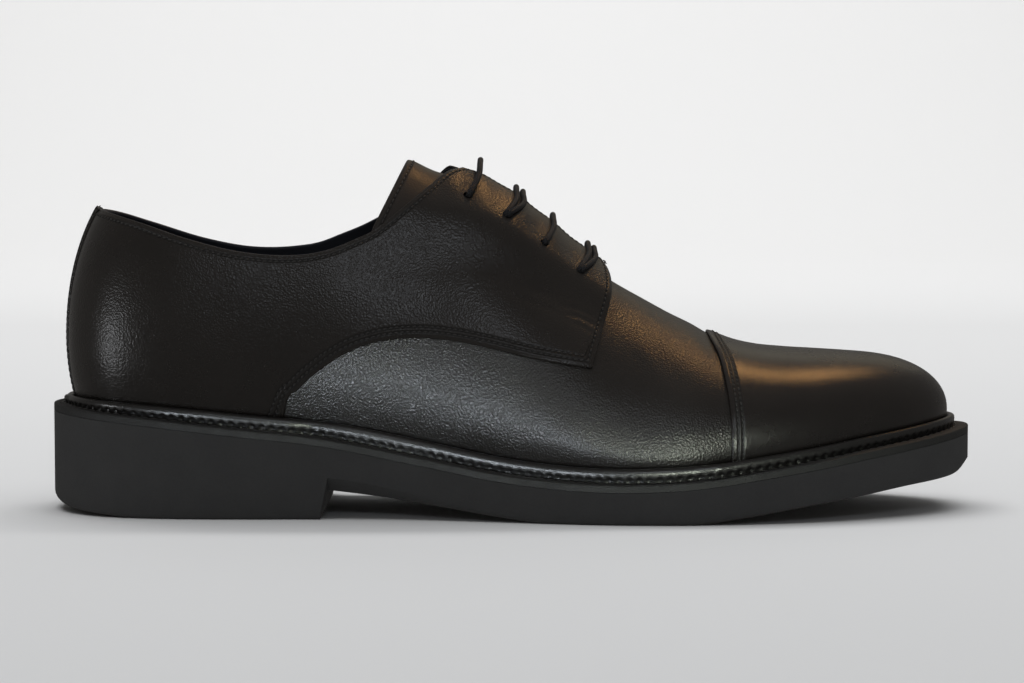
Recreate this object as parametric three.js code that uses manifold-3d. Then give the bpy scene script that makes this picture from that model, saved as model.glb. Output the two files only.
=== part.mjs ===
// A cap-toe lace-up shoe for the right foot, standing on its sole, in millimetres.
// +X points to the toe, +Y to the inner side of the foot and +Z up. The origin lies on the floor,
// under the middle of the shoe's box.
import * as THREE from 'three';
import { mergeVertices } from 'three/addons/utils/BufferGeometryUtils.js';
import Module from 'manifold-3d';

const wasm = await Module();
wasm.setup();

// Overall sizes
const LENGTH = 308;          // outsole from the back of the heel to the toe tip
const BALL_WIDTH = 103.6;    // outsole across the ball
const HEEL_LEVEL = 35.7;     // top edge of the welt above the floor, at the back of the heel
const INSTEP_HEIGHT = 117;   // crest of the last under the end of the tongue
const COLLAR_HEIGHT = 100.3; // top line above the floor, at the back

// Leather
const WALL = 1.6;            // vamp leather and lining
const QUARTER = 1.3;         // quarter leather, lapped over the vamp
const CAP = 1.2;             // toe cap
const STRIP = 1.0;           // back strip
const STRIP_HALF = 5;
const FLAP = 2.3;            // facing of the quarter, where it stands free over the tongue
const TONGUE = 1.8;
const TONGUE_HALF = 21.5;
const THROAT_HALF = 7.5;     // half of the gap between the two facings

// Lace and its holes
const LACE = 2;
const HOLE = 3.6;
const HOLE_PITCH = 11.9;     // along the shoe
const HOLE_COUNT = 4;

// Bottom
const WELT = 2.4;            // welt strip at its outer edge
const LIP = 2.6;             // width of the raised lip against the upper
const INSOLE = 4.2;
const BREAST = 94;           // length of the heel
const BREAST_SLOPE = 2.5;    // its front leans back by this at the floor
const EDGE = 1.3;            // rounding of the sole's lower edge
const TIP_EDGE = 3.5;        // the same at the heel's back and at the toe tip
const HEEL_ROLL = 2.8;       // lift of the heel's underside at its back
const ROLL_LENGTH = 42;      // over this length
const WAIST_BEVEL = 4.5;     // chamfer under the waist, at the heel breast
const BEVEL_END = -.01;      // it fades out here, share of the length from the middle
const ROUND_ENDS = [.03, .12]; // stations between which the ends' rounding fades
const ROUND = .293;          // where the middle of a rounded edge lies, share of its radius
const GAP = 0.3;             // between pieces that meet
const LEDGE = 0.7;           // rise of the welt from its edge to the upper

// Sections along each side and rows from the welt to the crest
const SECTIONS = 26;
const ROWS = [0, .07, .16, .25, .34, .43, .52, .61, .7, .79, .88, .95, 1];
const RING = 2 * SECTIONS;

// Outsole outline: share of the length, half width and middle line as shares of half the ball width.
const OUTLINE = [
  { at: 0, half: 0, mid: 0 },
  { at: .02, half: .375, mid: 0 },
  { at: .06, half: .590, mid: 0 },
  { at: .12, half: .698, mid: -.006 },
  { at: .20, half: .727, mid: -.012 },
  { at: .30, half: .705, mid: -.035 },
  { at: .40, half: .707, mid: -.077 },
  { at: .50, half: .805, mid: -.102 },
  { at: .58, half: .925, mid: -.090 },
  { at: .66, half: .997, mid: -.055 },
  { at: .74, half: .988, mid: -.023 },
  { at: .82, half: .905, mid: .004 },
  { at: .90, half: .720, mid: .030 },
  { at: .96, half: .478, mid: .048 },
  { at: 1, half: 0, mid: .055 },
];

// Top edge of the welt and underside of the sole: share of the length, share of the heel level.
const WELT_EDGE = [
  { at: 0, rise: 1 },
  { at: .11, rise: .916 },
  { at: .20, rise: .832 },
  { at: .30, rise: .734 },
  { at: .40, rise: .571 },
  { at: .50, rise: .420 },
  { at: .58, rise: .367 },
  { at: .66, rise: .373 },
  { at: .71, rise: .409 },
  { at: .76, rise: .471 },
  { at: .83, rise: .562 },
  { at: .87, rise: .619 },
  { at: .92, rise: .681 },
  { at: 1, rise: .782 },
];
const UNDERSIDE = [
  { at: .30, rise: .262 },
  { at: .36, rise: .204 },
  { at: .42, rise: .130 },
  { at: .48, rise: .053 },
  { at: .53, rise: 0 },
  { at: .69, rise: 0 },
  { at: .75, rise: .068 },
  { at: .80, rise: .137 },
  { at: .86, rise: .210 },
  { at: .92, rise: .288 },
  { at: .96, rise: .325 },
  { at: 1, rise: .375 },
];

// The last beside each point of the outline: how far its widest line lies inside the sole's edge and
// above the welt, how far it tucks in below that line, the exponent of its section above the line,
// and how high the welt's lip stands. Lengths are shares of half the ball width.
const BODY = [
  { at: 0, inset: .131, level: .44, tuck: .058, power: 2.05, lip: .054 },
  { at: .06, inset: .093, level: .42, tuck: .058, power: 1.95, lip: .075 },
  { at: .15, inset: .089, level: .46, tuck: .066, power: 1.95, lip: .088 },
  { at: .25, inset: .086, level: .50, tuck: .078, power: 1.95, lip: .095 },
  { at: .35, inset: .062, level: .50, tuck: .093, power: 1.88, lip: .110 },
  { at: .45, inset: .066, level: .42, tuck: .092, power: 1.90, lip: .105 },
  { at: .55, inset: .071, level: .28, tuck: .079, power: 1.70, lip: .097 },
  { at: .62, inset: .082, level: .18, tuck: .062, power: 1.72, lip: .095 },
  { at: .68, inset: .087, level: .165, tuck: .052, power: 1.9, lip: .094 },
  { at: .74, inset: .107, level: .185, tuck: .046, power: 2.08, lip: .090 },
  { at: .80, inset: .125, level: .19, tuck: .042, power: 2.2, lip: .087 },
  { at: .90, inset: .146, level: .15, tuck: .035, power: 2.25, lip: .085 },
  { at: 1, inset: .166, level: .115, tuck: .027, power: 2.2, lip: .083 },
];

// Crest of the last: share of the length, share of the instep height. Over the collar it closes the
// form above the top line, where the opening is cut.
const CREST = [
  { at: .01, rise: 1.01 },
  { at: .14, rise: 1.01 },
  { at: .21, rise: 1.15 },
  { at: .29, rise: 1.15 },
  { at: .345, rise: 1.045 },
  { at: .388, rise: 1 },
  { at: .415, rise: .966 },
  { at: .445, rise: .944 },
  { at: .476, rise: .908 },
  { at: .495, rise: .877 },
  { at: .533, rise: .801 },
  { at: .57, rise: .722 },
  { at: .608, rise: .651 },
  { at: .644, rise: .597 },
  { at: .671, rise: .558 },
  { at: .697, rise: .524 },
  { at: .714, rise: .498 },
  { at: .736, rise: .473 },
  { at: .763, rise: .455 },
  { at: .79, rise: .447 },
  { at: .825, rise: .441 },
  { at: .864, rise: .434 },
];
const CREST_OFFSET = .05;    // crest towards the inner side over the instep, share of half the ball width
const CREST_RUN = [-.34, -.08]; // it moves there between these, shares of the length from the middle
const FAN_SETTLE = .15;      // how slowly the fans' crest points come to rest at their ends
const HEEL_FAN = .146;       // the sections fan round the heel from here
const TOE_FAN = .864;        // and round the toe from here
const WAIST_START = .30;     // between these two they stand across the shoe
const WAIST_END = .66;
const TUCK_TURN = ROWS[2];   // part of a section below its widest line

// Top line: share of the length, share of the collar height, outer and inner side.
const TOP_LINE = [
  { at: -.02, outer: 1.008, inner: 1.008 },
  { at: .050, outer: 1.0, inner: 1.0 },
  { at: .095, outer: .966, inner: .954 },
  { at: .156, outer: .906, inner: .892 },
  { at: .211, outer: .865, inner: .861 },
  { at: .258, outer: .853, inner: .864 },
  { at: .285, outer: .858, inner: .878 },
  { at: .309, outer: .875, inner: .906 },
  { at: .333, outer: .905, inner: .936 },
  { at: .352, outer: .932, inner: .966 },
  { at: .381, outer: 1.001, inner: 1.012 },
  { at: .412, outer: 1.080, inner: 1.092 },
  { at: .434, outer: 1.134, inner: 1.152 },
  { at: .447, outer: 1.142, inner: 1.162 },
];

// Front and lower edge of the quarter, from the throat down and back to the welt: share of the
// length, share of the instep height.
const QUARTER_EDGE = [
  { at: .580, rise: .80 },
  { at: .596, rise: .725 },
  { at: .604, rise: .693 },
  { at: .607, rise: .655 },
  { at: .6045, rise: .608 },
  { at: .5995, rise: .562 },
  { at: .594, rise: .517 },
  { at: .588, rise: .467 },
  { at: .584, rise: .431 },
  { at: .522, rise: .456 },
  { at: .473, rise: .485 },
  { at: .435, rise: .503 },
  { at: .398, rise: .509 },
  { at: .360, rise: .498 },
  { at: .330, rise: .472 },
  { at: .298, rise: .420 },
  { at: .273, rise: .360 },
  { at: .258, rise: .301 },
  { at: .250, rise: .15 },
];
const CAP_SEAM = .727;       // share of the length at the welt
const CAP_SWEEP = 3.5;       // how far the seam runs back over the crest
// The seam's run back: share of the crest's height there, and share of the sweep.
const CAP_CURVE = [
  { rise: .8, sweep: 0 },
  { rise: .95, sweep: .4 },
  { rise: 1.06, sweep: 1 },
];
const STRIP_REACH = .08;     // the back strip's cut reaches this far, share of the length
const STRIP_FRONT = .9;      // and this high there, share of its own top

// Cubic curve through the rows of a table, on the given key.
function through(rows, key, position = (row) => row.at) {
  const xs = rows.map(position);
  const ys = rows.map((row) => row[key]);
  const steps = xs.slice(1).map((x, i) => x - xs[i]);
  const rates = steps.map((step, i) => (ys[i + 1] - ys[i]) / step);
  const tangents = xs.map((x, i) => {
    if (i === 0) return 1.5 * rates[0] - .5 * rates[Math.min(1, rates.length - 1)];
    if (i === xs.length - 1) return 1.5 * rates[i - 1] - .5 * rates[Math.max(0, i - 2)];
    return (rates[i - 1] * steps[i] + rates[i] * steps[i - 1]) / (steps[i - 1] + steps[i]);
  });
  return (x) => {
    let i = 0;
    while (i < steps.length - 1 && x > xs[i + 1]) i += 1;
    const u = (x - xs[i]) / steps[i];
    const start = (1 + 2 * u) * (1 - u) ** 2 * ys[i] + u * (1 - u) ** 2 * steps[i] * tangents[i];
    return start + u * u * (3 - 2 * u) * ys[i + 1] + u * u * (u - 1) * steps[i] * tangents[i + 1];
  };
}

const smooth = (from, to, x) => THREE.MathUtils.smoothstep(x, from, to);
const mix = THREE.MathUtils.lerp;

// A station runs from 0 at the heel's back to 1 at the toe tip, with its steps closer at both ends,
// so that curves against it stay smooth round the ends.
const station = (at) => Math.acos(THREE.MathUtils.clamp(1 - 2 * at, -1, 1)) / Math.PI;
const lengthwise = (s) => LENGTH * (1 - Math.cos(Math.PI * s)) / 2 - LENGTH / 2;
const share = (x) => THREE.MathUtils.clamp(x / LENGTH + .5, 0, 1);
const fromShare = (at) => (at - .5) * LENGTH;

const byStation = (row) => station(row.at);
const HALF_BALL = BALL_WIDTH / 2;
const halfWidth = through(OUTLINE, 'half', byStation);
const middle = through(OUTLINE, 'mid', byStation);
const body = Object.fromEntries(
  ['inset', 'level', 'tuck', 'power', 'lip'].map((key) => [key, through(BODY, key, byStation)]));
const weltEdge = through(WELT_EDGE, 'rise');
const underside = through(UNDERSIDE, 'rise');
const crest = through(CREST, 'rise');
const weltLevel = (x) => HEEL_LEVEL * weltEdge(share(x));
const crestLevel = (x) => INSTEP_HEIGHT * crest(x / LENGTH + .5);
const crestSide = (x) => HALF_BALL * CREST_OFFSET * smooth(...CREST_RUN, x / LENGTH);

// A turn u runs once round the shoe: 0 to 1 forward along the outer side, 1 to 2 back along the inner.
const wrap = (u) => ((u % 2) + 2) % 2;
const stationOf = (u) => (u <= 1 ? u : 2 - u);

function edgePoint(u) {
  const turn = wrap(u);
  const s = stationOf(turn);
  const side = turn <= 1 ? -1 : 1;
  return new THREE.Vector2(lengthwise(s), HALF_BALL * (middle(s) + side * halfWidth(s)));
}

// The outline moved inwards by a distance.
function insetPoint(u, distance) {
  const step = 1e-3;
  const tangent = edgePoint(u + step).sub(edgePoint(u - step)).normalize();
  return edgePoint(u).add(new THREE.Vector2(-tangent.y, tangent.x).multiplyScalar(distance));
}

// Where along the crest a section ends: straight across in the waist, fanned at the ends.
function crestStation(s) {
  const [heelEnd, toeEnd] = [station(WAIST_START), station(WAIST_END)];
  if (s >= heelEnd && s <= toeEnd) return lengthwise(s);
  const fromToe = s > toeEnd;
  const [near, far] = fromToe ? [toeEnd, 1] : [heelEnd, 0];
  const start = lengthwise(near);
  const end = fromShare(fromToe ? TOE_FAN : HEEL_FAN);
  const span = far - near;
  const slope = LENGTH * Math.PI / 2 * Math.sin(Math.PI * near) * span;
  const u = (s - near) / span;
  const settle = (end - start) * FAN_SETTLE;
  return start * (1 + 2 * u) * (1 - u) ** 2 + slope * u * (1 - u) ** 2
    + end * u * u * (3 - 2 * u) + settle * u * u * (u - 1);
}

// A point of the last: u round the shoe and t from the welt (0) up to the crest (1).
function last(u, t) {
  const s = stationOf(wrap(u));
  const inset = body.inset(s) * HALF_BALL;
  const wide = insetPoint(u, inset);
  const wideLevel = weltLevel(wide.x) + body.level(s) * HALF_BALL;
  if (t < TUCK_TURN) {
    const down = 1 - t / TUCK_TURN;
    const low = insetPoint(u, inset + body.tuck(s) * HALF_BALL);
    const foot = weltLevel(low.x) + LEDGE + GAP;
    return new THREE.Vector3(
      mix(wide.x, low.x, down ** 2), mix(wide.y, low.y, down ** 2), mix(wideLevel, foot, down));
  }
  const turn = (t - TUCK_TURN) / (1 - TUCK_TURN) * Math.PI / 2;
  const power = 2 / body.power(s);
  const out = t >= 1 ? 0 : Math.cos(turn) ** power;
  const up = Math.sin(turn) ** power;
  const x = crestStation(s);
  return new THREE.Vector3(
    mix(x, wide.x, out), mix(crestSide(x), wide.y, out), mix(wideLevel, crestLevel(x), up));
}

// The outward normal of the last: level at the welt, and upright across the crest.
function normal(u, t) {
  if (t >= 1) {
    const x = crestStation(stationOf(wrap(u)));
    return new THREE.Vector3(crestLevel(x - 1) - crestLevel(x + 1), 0, 2).normalize();
  }
  const step = 1e-3;
  const along = last(u + step, t).sub(last(u - step, t));
  const upward = last(u, Math.min(t + step, 1)).sub(last(u, Math.max(t - step, 0)));
  const outward = along.cross(upward).normalize();
  outward.z *= smooth(0, TUCK_TURN, t);
  return outward.normalize();
}

const skin = (u, t, thickness) => last(u, t).addScaledVector(normal(u, t), thickness);

function toSolid(positions, triangles) {
  return new wasm.Manifold(new wasm.Mesh({
    numProp: 3, vertProperties: new Float32Array(positions), triVerts: new Uint32Array(triangles) }));
}

function fromGeometry(geometry) {
  geometry.deleteAttribute('normal');
  geometry.deleteAttribute('uv');
  const merged = mergeVertices(geometry, 1e-4);
  return toSolid(merged.attributes.position.array, merged.index.array);
}

// A closed wall over the last, between two thicknesses that may change from point to point. It is
// open underneath, where its inner and outer faces are joined by a rim.
function wallSolid(outer, inner) {
  const rows = ROWS.length;
  const positions = [];
  for (const thickness of [outer, inner]) {
    for (let i = 0; i < RING; i += 1) {
      for (const t of ROWS) {
        const u = i / SECTIONS;
        positions.push(...skin(u, t, thickness(u, t)).toArray());
      }
    }
  }
  const vertex = (layer, i, row) => {
    const around = (i + RING) % RING;
    const folded = row === rows - 1 && around > SECTIONS ? RING - around : around;
    return (layer * RING + folded) * rows + row;
  };
  const triangles = [];
  const quad = (a, b, c, d) => {
    if (a !== b && b !== c && a !== c) triangles.push(a, b, c);
    if (a !== c && c !== d && a !== d) triangles.push(a, c, d);
  };
  for (let i = 0; i < RING; i += 1) {
    for (let row = 0; row < rows - 1; row += 1) {
      quad(vertex(0, i, row), vertex(0, i + 1, row), vertex(0, i + 1, row + 1), vertex(0, i, row + 1));
      quad(vertex(1, i, row + 1), vertex(1, i + 1, row + 1), vertex(1, i + 1, row), vertex(1, i, row));
    }
    quad(vertex(1, i, 0), vertex(1, i + 1, 0), vertex(0, i + 1, 0), vertex(0, i, 0));
  }
  return toSolid(positions, triangles);
}

// Rings round the outline, from the top down, closed across the shoe at the top and the bottom.
function stackSolid(levels) {
  const positions = [];
  for (const level of levels) {
    for (let i = 0; i < RING; i += 1) positions.push(...level(i / SECTIONS).toArray());
  }
  const triangles = [];
  const vertex = (level, i) => level * RING + (i + RING) % RING;
  for (let level = 0; level < levels.length - 1; level += 1) {
    for (let i = 0; i < RING; i += 1) {
      const [a, b] = [vertex(level, i), vertex(level, i + 1)];
      const [c, d] = [vertex(level + 1, i + 1), vertex(level + 1, i)];
      triangles.push(a, c, b, a, d, c);
    }
  }
  const lowest = levels.length - 1;
  for (let i = 0; i < SECTIONS; i += 1) {
    for (const [level, flip] of [[0, false], [lowest, true]]) {
      const [a, b, c, d] = [vertex(level, i), vertex(level, i + 1),
        vertex(level, RING - i - 1), vertex(level, RING - i)];
      if (b !== c) triangles.push(...(flip ? [a, c, b] : [a, b, c]));
      if (a !== d) triangles.push(...(flip ? [a, d, c] : [a, c, d]));
    }
  }
  return toSolid(positions, triangles);
}

// A closed section swept round the outline, such as the welt.
function bandSolid(section) {
  const positions = [];
  for (let i = 0; i < RING; i += 1) {
    for (const corner of section(i / SECTIONS)) positions.push(...corner.toArray());
  }
  const count = section(0).length;
  const triangles = [];
  for (let i = 0; i < RING; i += 1) {
    for (let k = 0; k < count; k += 1) {
      const next = (i + 1) % RING;
      const [a, b] = [i * count + k, next * count + k];
      const [c, d] = [next * count + (k + 1) % count, i * count + (k + 1) % count];
      triangles.push(a, c, b, a, d, c);
    }
  }
  return toSolid(positions, triangles);
}

// A profile of [x, z] points drawn across the shoe, between two levels of y.
function across(profile, from, to) {
  const shape = new THREE.Shape(profile.map(([x, z]) => new THREE.Vector2(x, z)));
  const geometry = new THREE.ExtrudeGeometry(shape, { depth: to - from, bevelEnabled: false });
  geometry.rotateX(Math.PI / 2);
  return fromGeometry(geometry.translate(0, to, 0));
}

// A profile of [x, y] points drawn upwards, between two levels of z.
function upright(profile, from, to) {
  const shape = new THREE.Shape(profile.map(([x, y]) => new THREE.Vector2(x, y)));
  const geometry = new THREE.ExtrudeGeometry(shape, { depth: to - from, bevelEnabled: false });
  return fromGeometry(geometry.translate(0, 0, from));
}

// Cutters reach past the shoe by these.
const SIDE = BALL_WIDTH;
const ABOVE = INSTEP_HEIGHT * 1.5;
const TAIL = -LENGTH * .55;

// Thickness of the quarter over the last. Towards the throat it stands free of the tongue, with room
// for the lace to run underneath.
const LIFT = LACE + 4 * GAP;
const LIFT_BLEND = 12;
const COLLAR_BLEND = [-.28, -.17];
const COLLAR_END = .455;     // the cut over the top line leans forward to here, share of the length
function freeing(u, t) {
  const point = last(u, t);
  const aside = Math.abs(point.y - crestSide(point.x));
  const near = 1 - smooth(TONGUE_HALF + 2 * GAP, TONGUE_HALF + 2 * GAP + LIFT_BLEND, aside);
  const x = lengthwise(stationOf(wrap(u)));
  return near * smooth(TUCK_TURN, 2 * TUCK_TURN, t) * smooth(...COLLAR_BLEND, x / LENGTH);
}
const quarterOuter = (u, t) => mix(QUARTER, LIFT + FLAP, freeing(u, t));
const quarterInner = (u, t) => mix(-WALL / 2, LIFT, freeing(u, t));

function collarCut(key, from, to) {
  const line = TOP_LINE.map((row) => [fromShare(row.at), row[key] * COLLAR_HEIGHT]);
  return across([...line, [fromShare(COLLAR_END), ABOVE], [TAIL - 1, ABOVE]], from, to);
}

// A region along the crest, from its front end back: a gap to cut, or the tongue's plan.
function alongCrest(front, half, back) {
  const y = crestSide(front);
  const nose = THROAT_HALF / 2;
  return upright([[back, y - half], [front - nose, y - half], [front, y - half + nose],
    [front, y + half - nose], [front - nose, y + half], [back, y + half]], INSTEP_HEIGHT / 3, ABOVE);
}

const TONGUE_COVER = 5;      // how far the vamp's throat lies behind the front edge of the quarter
const COLLAR_FRONT = .325;   // the gap between the facings is cut back to here, share of the length
const TONGUE_SIDE = .347;    // the tongue's sides end here
const TONGUE_END = .388;     // its end meets the crest here
const TONGUE_SLANT = .48;    // and runs forward by this for each millimetre of height
const FIRST_HOLE = .5636;    // the hole nearest the toe
const HOLE_ASIDE = 19.3;     // the hole nearest the collar, beside the crest
const HOLE_SPREAD = 1.0;     // the row of holes runs out by this at each hole towards the toe
const LACE_LEAN = 2.5;       // a bar crosses the gap this far in front of its holes
const SHOULDER_TURN = .04;   // it leaves its hole over this part of a section
const LACE_SIDES = 6;
const HOLE_SIDES = 10;
const quarterFront = fromShare(QUARTER_EDGE[3].at);
const tongueFront = quarterFront - TONGUE_COVER;
const collarFront = fromShare(COLLAR_FRONT);
const tongueBack = fromShare(TONGUE_SIDE);
const firstHole = fromShare(FIRST_HOLE);
const holeStation = (i) => station(share(firstHole - i * HOLE_PITCH));

// The row of a section that lies at a distance beside the crest, above the last's widest line.
function turnBeside(u, distance) {
  const s = stationOf(wrap(u));
  const reach = Math.abs(last(u, TUCK_TURN).y - crestSide(crestStation(s)));
  const turn = Math.acos((distance / reach) ** (body.power(s) / 2)) / (Math.PI / 2);
  return mix(TUCK_TURN, 1, turn);
}

const holeTurn = (u, i) => turnBeside(u, HOLE_ASIDE + (HOLE_COUNT - 1 - i) * HOLE_SPREAD);

function makeUpper() {
  const vamp = wallSolid(() => 0, () => -WALL)
    .subtract(alongCrest(tongueFront + GAP, TONGUE_HALF + GAP, collarFront));
  const edge = QUARTER_EDGE.map((row) => [fromShare(row.at), row.rise * INSTEP_HEIGHT]);
  const [front, rear] = [edge[0][0], edge[edge.length - 1][0]];
  const outline = across([...edge, [rear, 0], [TAIL, 0], [TAIL, ABOVE], [front, ABOVE]], -SIDE, SIDE);
  let quarters = wallSolid(quarterOuter, quarterInner)
    .intersect(outline)
    .subtract(alongCrest(quarterFront + 2 * THROAT_HALF, THROAT_HALF, collarFront));
  for (let i = 0; i < HOLE_COUNT; i += 1) {
    for (const u of [holeStation(i), 2 - holeStation(i)]) {
      quarters = quarters.subtract(holeTool(u, holeTurn(u, i)));
    }
  }
  return vamp.add(quarters)
    .subtract(collarCut('inner', -SIDE, SIDE))
    .subtract(collarCut('outer', -SIDE, 0));
}

function holeTool(u, t) {
  const direction = normal(u, t);
  const geometry = new THREE.CylinderGeometry(HOLE / 2, HOLE / 2, 3 * FLAP, HOLE_SIDES);
  geometry.applyQuaternion(new THREE.Quaternion().setFromUnitVectors(new THREE.Vector3(0, 1, 0), direction));
  const centre = skin(u, t, LIFT + FLAP / 2);
  return fromGeometry(geometry.translate(...centre.toArray()));
}

// A plate on the last, in the gap under the facings, cut square across its upper end.
function makeTongue() {
  const plan = alongCrest(tongueFront, TONGUE_HALF, tongueBack);
  const end = fromShare(TONGUE_END);
  const run = ABOVE * TONGUE_SLANT;
  const [low, high] = [INSTEP_HEIGHT - ABOVE, INSTEP_HEIGHT + ABOVE];
  const behind = across([[end - run, low], [end + run, high], [TAIL, high], [TAIL, low]], -SIDE, SIDE);
  return wallSolid(() => 0, () => -TONGUE).intersect(plan).subtract(behind);
}

function makeToeCap() {
  const seam = fromShare(CAP_SEAM);
  const top = crestLevel(seam);
  const front = LENGTH;
  const line = CAP_CURVE.map((row) => [seam - CAP_SWEEP * row.sweep, top * row.rise]);
  const region = across([[seam, 0], ...line, [seam - CAP_SWEEP, ABOVE], [front, ABOVE], [front, 0]],
    -SIDE, SIDE);
  return wallSolid(() => GAP + CAP, () => GAP).intersect(region);
}

function makeBackStrip() {
  const inner = QUARTER + GAP;
  const top = TOP_LINE[1].outer * COLLAR_HEIGHT;
  const [back, front] = [TAIL, fromShare(STRIP_REACH)];
  const line = TOP_LINE.slice(0, 3).map((row) => [fromShare(row.at), row.outer * COLLAR_HEIGHT]);
  const region = across([[back, 0], [front, 0], [front, top * STRIP_FRONT], ...line.reverse(),
    [back, top]], -STRIP_HALF, STRIP_HALF);
  return wallSolid(() => inner + STRIP, () => inner).intersect(region);
}

// What lies over the last beside the welt's lip: strip, quarter, bare vamp, toe cap. They change
// between these: the strip's are stations, the others shares of the length.
const STRIP_ENDS = [.032, .06];
const VAMP_STARTS = [.262, .29];
const CAP_STARTS = [.69, .72];
function layers(s) {
  const strip = STRIP + GAP;
  const rear = QUARTER + strip * (1 - smooth(...STRIP_ENDS, s));
  const vampStart = smooth(...VAMP_STARTS.map(station), s);
  const capStart = smooth(...CAP_STARTS.map(station), s);
  return mix(rear, 0, vampStart) + (CAP + GAP) * capStart;
}

// Inset of the last at a height over the welt's edge, beside the lip.
function wallInset(s, height) {
  const level = body.level(s) * HALF_BALL;
  const foot = LEDGE + GAP;
  const down = THREE.MathUtils.clamp(1 - (height - foot) / (level - foot), 0, 1);
  return (body.inset(s) + body.tuck(s) * down ** 2) * HALF_BALL;
}

const raised = (u, inset, height) => {
  const point = insetPoint(u, inset);
  return new THREE.Vector3(point.x, point.y, weltLevel(point.x) + height);
};

// The lip's section: share of its width out from the upper, and share of its height.
const LIP_PROFILE = [
  { out: 0, rise: .8 },
  { out: .45, rise: 1 },
  { out: .92, rise: .7 },
];

// The welt: a flat strip to the sole's edge, with a rounded lip that hugs the upper.
function weltSection(u) {
  const s = stationOf(wrap(u));
  const lip = body.lip(s) * HALF_BALL;
  const over = layers(s) + GAP;
  const foot = wallInset(s, LEDGE + GAP) - over;
  const shoulder = wallInset(s, lip * LIP_PROFILE[0].rise) - over;
  const inner = wallInset(s, LEDGE + GAP) + WALL;
  return [
    raised(u, 0, -WELT), raised(u, inner, -WELT), raised(u, inner, LEDGE), raised(u, foot, LEDGE),
    ...LIP_PROFILE.map((row) => raised(u, shoulder - LIP * row.out, lip * row.rise)),
    raised(u, shoulder - LIP, LEDGE / 2), raised(u, 0, 0),
  ];
}

function makeInsole() {
  const level = (height) => (u) => {
    const s = stationOf(wrap(u));
    return raised(u, wallInset(s, LEDGE + GAP) + WALL + GAP, height);
  };
  return stackSolid([level(INSOLE - WELT), level(-WELT)]);
}

// Rounding or chamfer of the lower edge: long at both ends, and wide under the waist.
function edgeSize(s) {
  const ends = 1 - smooth(...ROUND_ENDS, Math.min(s, 1 - s));
  return mix(EDGE, TIP_EDGE, ends);
}

function waistBevel(s) {
  const x = lengthwise(s);
  const breast = BREAST - LENGTH / 2;
  const fade = 1 - smooth(breast, BEVEL_END * LENGTH, x);
  return mix(edgeSize(s), WAIST_BEVEL, x < breast ? 1 : fade);
}

function makeOutsole() {
  const top = -WELT - GAP;
  const soleLevel = (x) => HEEL_LEVEL * Math.max(0, underside(Math.max(share(x), UNDERSIDE[0].at)));
  const below = (u, inset, height) => {
    const point = insetPoint(u, inset);
    return new THREE.Vector3(point.x, point.y, soleLevel(point.x) + height);
  };
  const plate = stackSolid([
    (u) => raised(u, 0, top),
    (u) => below(u, 0, waistBevel(stationOf(wrap(u)))),
    (u) => below(u, waistBevel(stationOf(wrap(u))) * ROUND, waistBevel(stationOf(wrap(u))) * ROUND),
    (u) => below(u, waistBevel(stationOf(wrap(u))), 0),
  ]);
  const rollStart = ROLL_LENGTH - LENGTH / 2;
  const flat = (u, inset, z) => {
    const point = insetPoint(u, inset);
    const roll = HEEL_ROLL * Math.max(0, (rollStart - point.x) / ROLL_LENGTH) ** 2;
    return new THREE.Vector3(point.x, point.y, z + roll);
  };
  const blockTop = soleLevel(TAIL) + WAIST_BEVEL + 2 * EDGE;
  const block = stackSolid([
    (u) => flat(u, 0, blockTop),
    (u) => flat(u, 0, edgeSize(stationOf(wrap(u)))),
    (u) => flat(u, edgeSize(stationOf(wrap(u))) * ROUND, edgeSize(stationOf(wrap(u))) * ROUND),
    (u) => flat(u, edgeSize(stationOf(wrap(u))), 0),
  ]);
  const breast = BREAST - LENGTH / 2;
  const heel = across([[TAIL, -1], [breast - BREAST_SLOPE, -1], [breast, blockTop], [breast, blockTop * 2],
    [TAIL, blockTop * 2]], -SIDE, SIDE);
  return plate.add(block.intersect(heel));
}

// One cord: over the gap at each pair of holes, and under the facing from pair to pair.
function makeLace() {
  const over = LIFT + FLAP + 2 * GAP + LACE / 2;
  const under = LIFT / 2;
  const points = [];
  const place = (u, t, thickness) => points.push(skin(u, t, thickness));
  for (let k = 0; k < HOLE_COUNT; k += 1) {
    const i = HOLE_COUNT - 1 - k;
    const s = holeStation(i);
    const lean = station(share(firstHole - i * HOLE_PITCH + LACE_LEAN));
    const toInner = k % 2 === 0;
    const onSide = (at, inner) => (inner ? 2 - at : at);
    const near = onSide(s, !toInner);
    const far = onSide(s, toInner);
    const shoulder = turnBeside(onSide(lean, !toInner), THROAT_HALF);
    const farShoulder = turnBeside(onSide(lean, toInner), THROAT_HALF);
    place(near, holeTurn(near, i), under + GAP / 2);
    place(near, holeTurn(near, i), (over + under) / 2);
    place(near, holeTurn(near, i), over);
    place(near, holeTurn(near, i) + SHOULDER_TURN, over + 2 * GAP);
    place(onSide(lean, !toInner), shoulder, over);
    place(onSide(lean, !toInner), 1, over);
    place(onSide(lean, toInner), farShoulder, over);
    place(far, holeTurn(far, i) + SHOULDER_TURN, over + 2 * GAP);
    place(far, holeTurn(far, i), over);
    place(far, holeTurn(far, i), (over + under) / 2);
    place(far, holeTurn(far, i), under + GAP / 2);
    if (i > 0) {
      const halfway = onSide((s + holeStation(i - 1)) / 2, toInner);
      place(halfway, (holeTurn(far, i) + holeTurn(onSide(holeStation(i - 1), toInner), i - 1)) / 2, under);
    }
  }
  const path = new THREE.CatmullRomCurve3(points, false, 'centripetal');
  const section = new THREE.Shape(Array.from({ length: LACE_SIDES }, (_, k) => {
    const turn = k / LACE_SIDES * 2 * Math.PI;
    return new THREE.Vector2(Math.cos(turn), Math.sin(turn)).multiplyScalar(LACE / 2);
  }));
  return fromGeometry(new THREE.ExtrudeGeometry(section,
    { steps: points.length * 2, bevelEnabled: false, extrudePath: path }));
}

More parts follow.
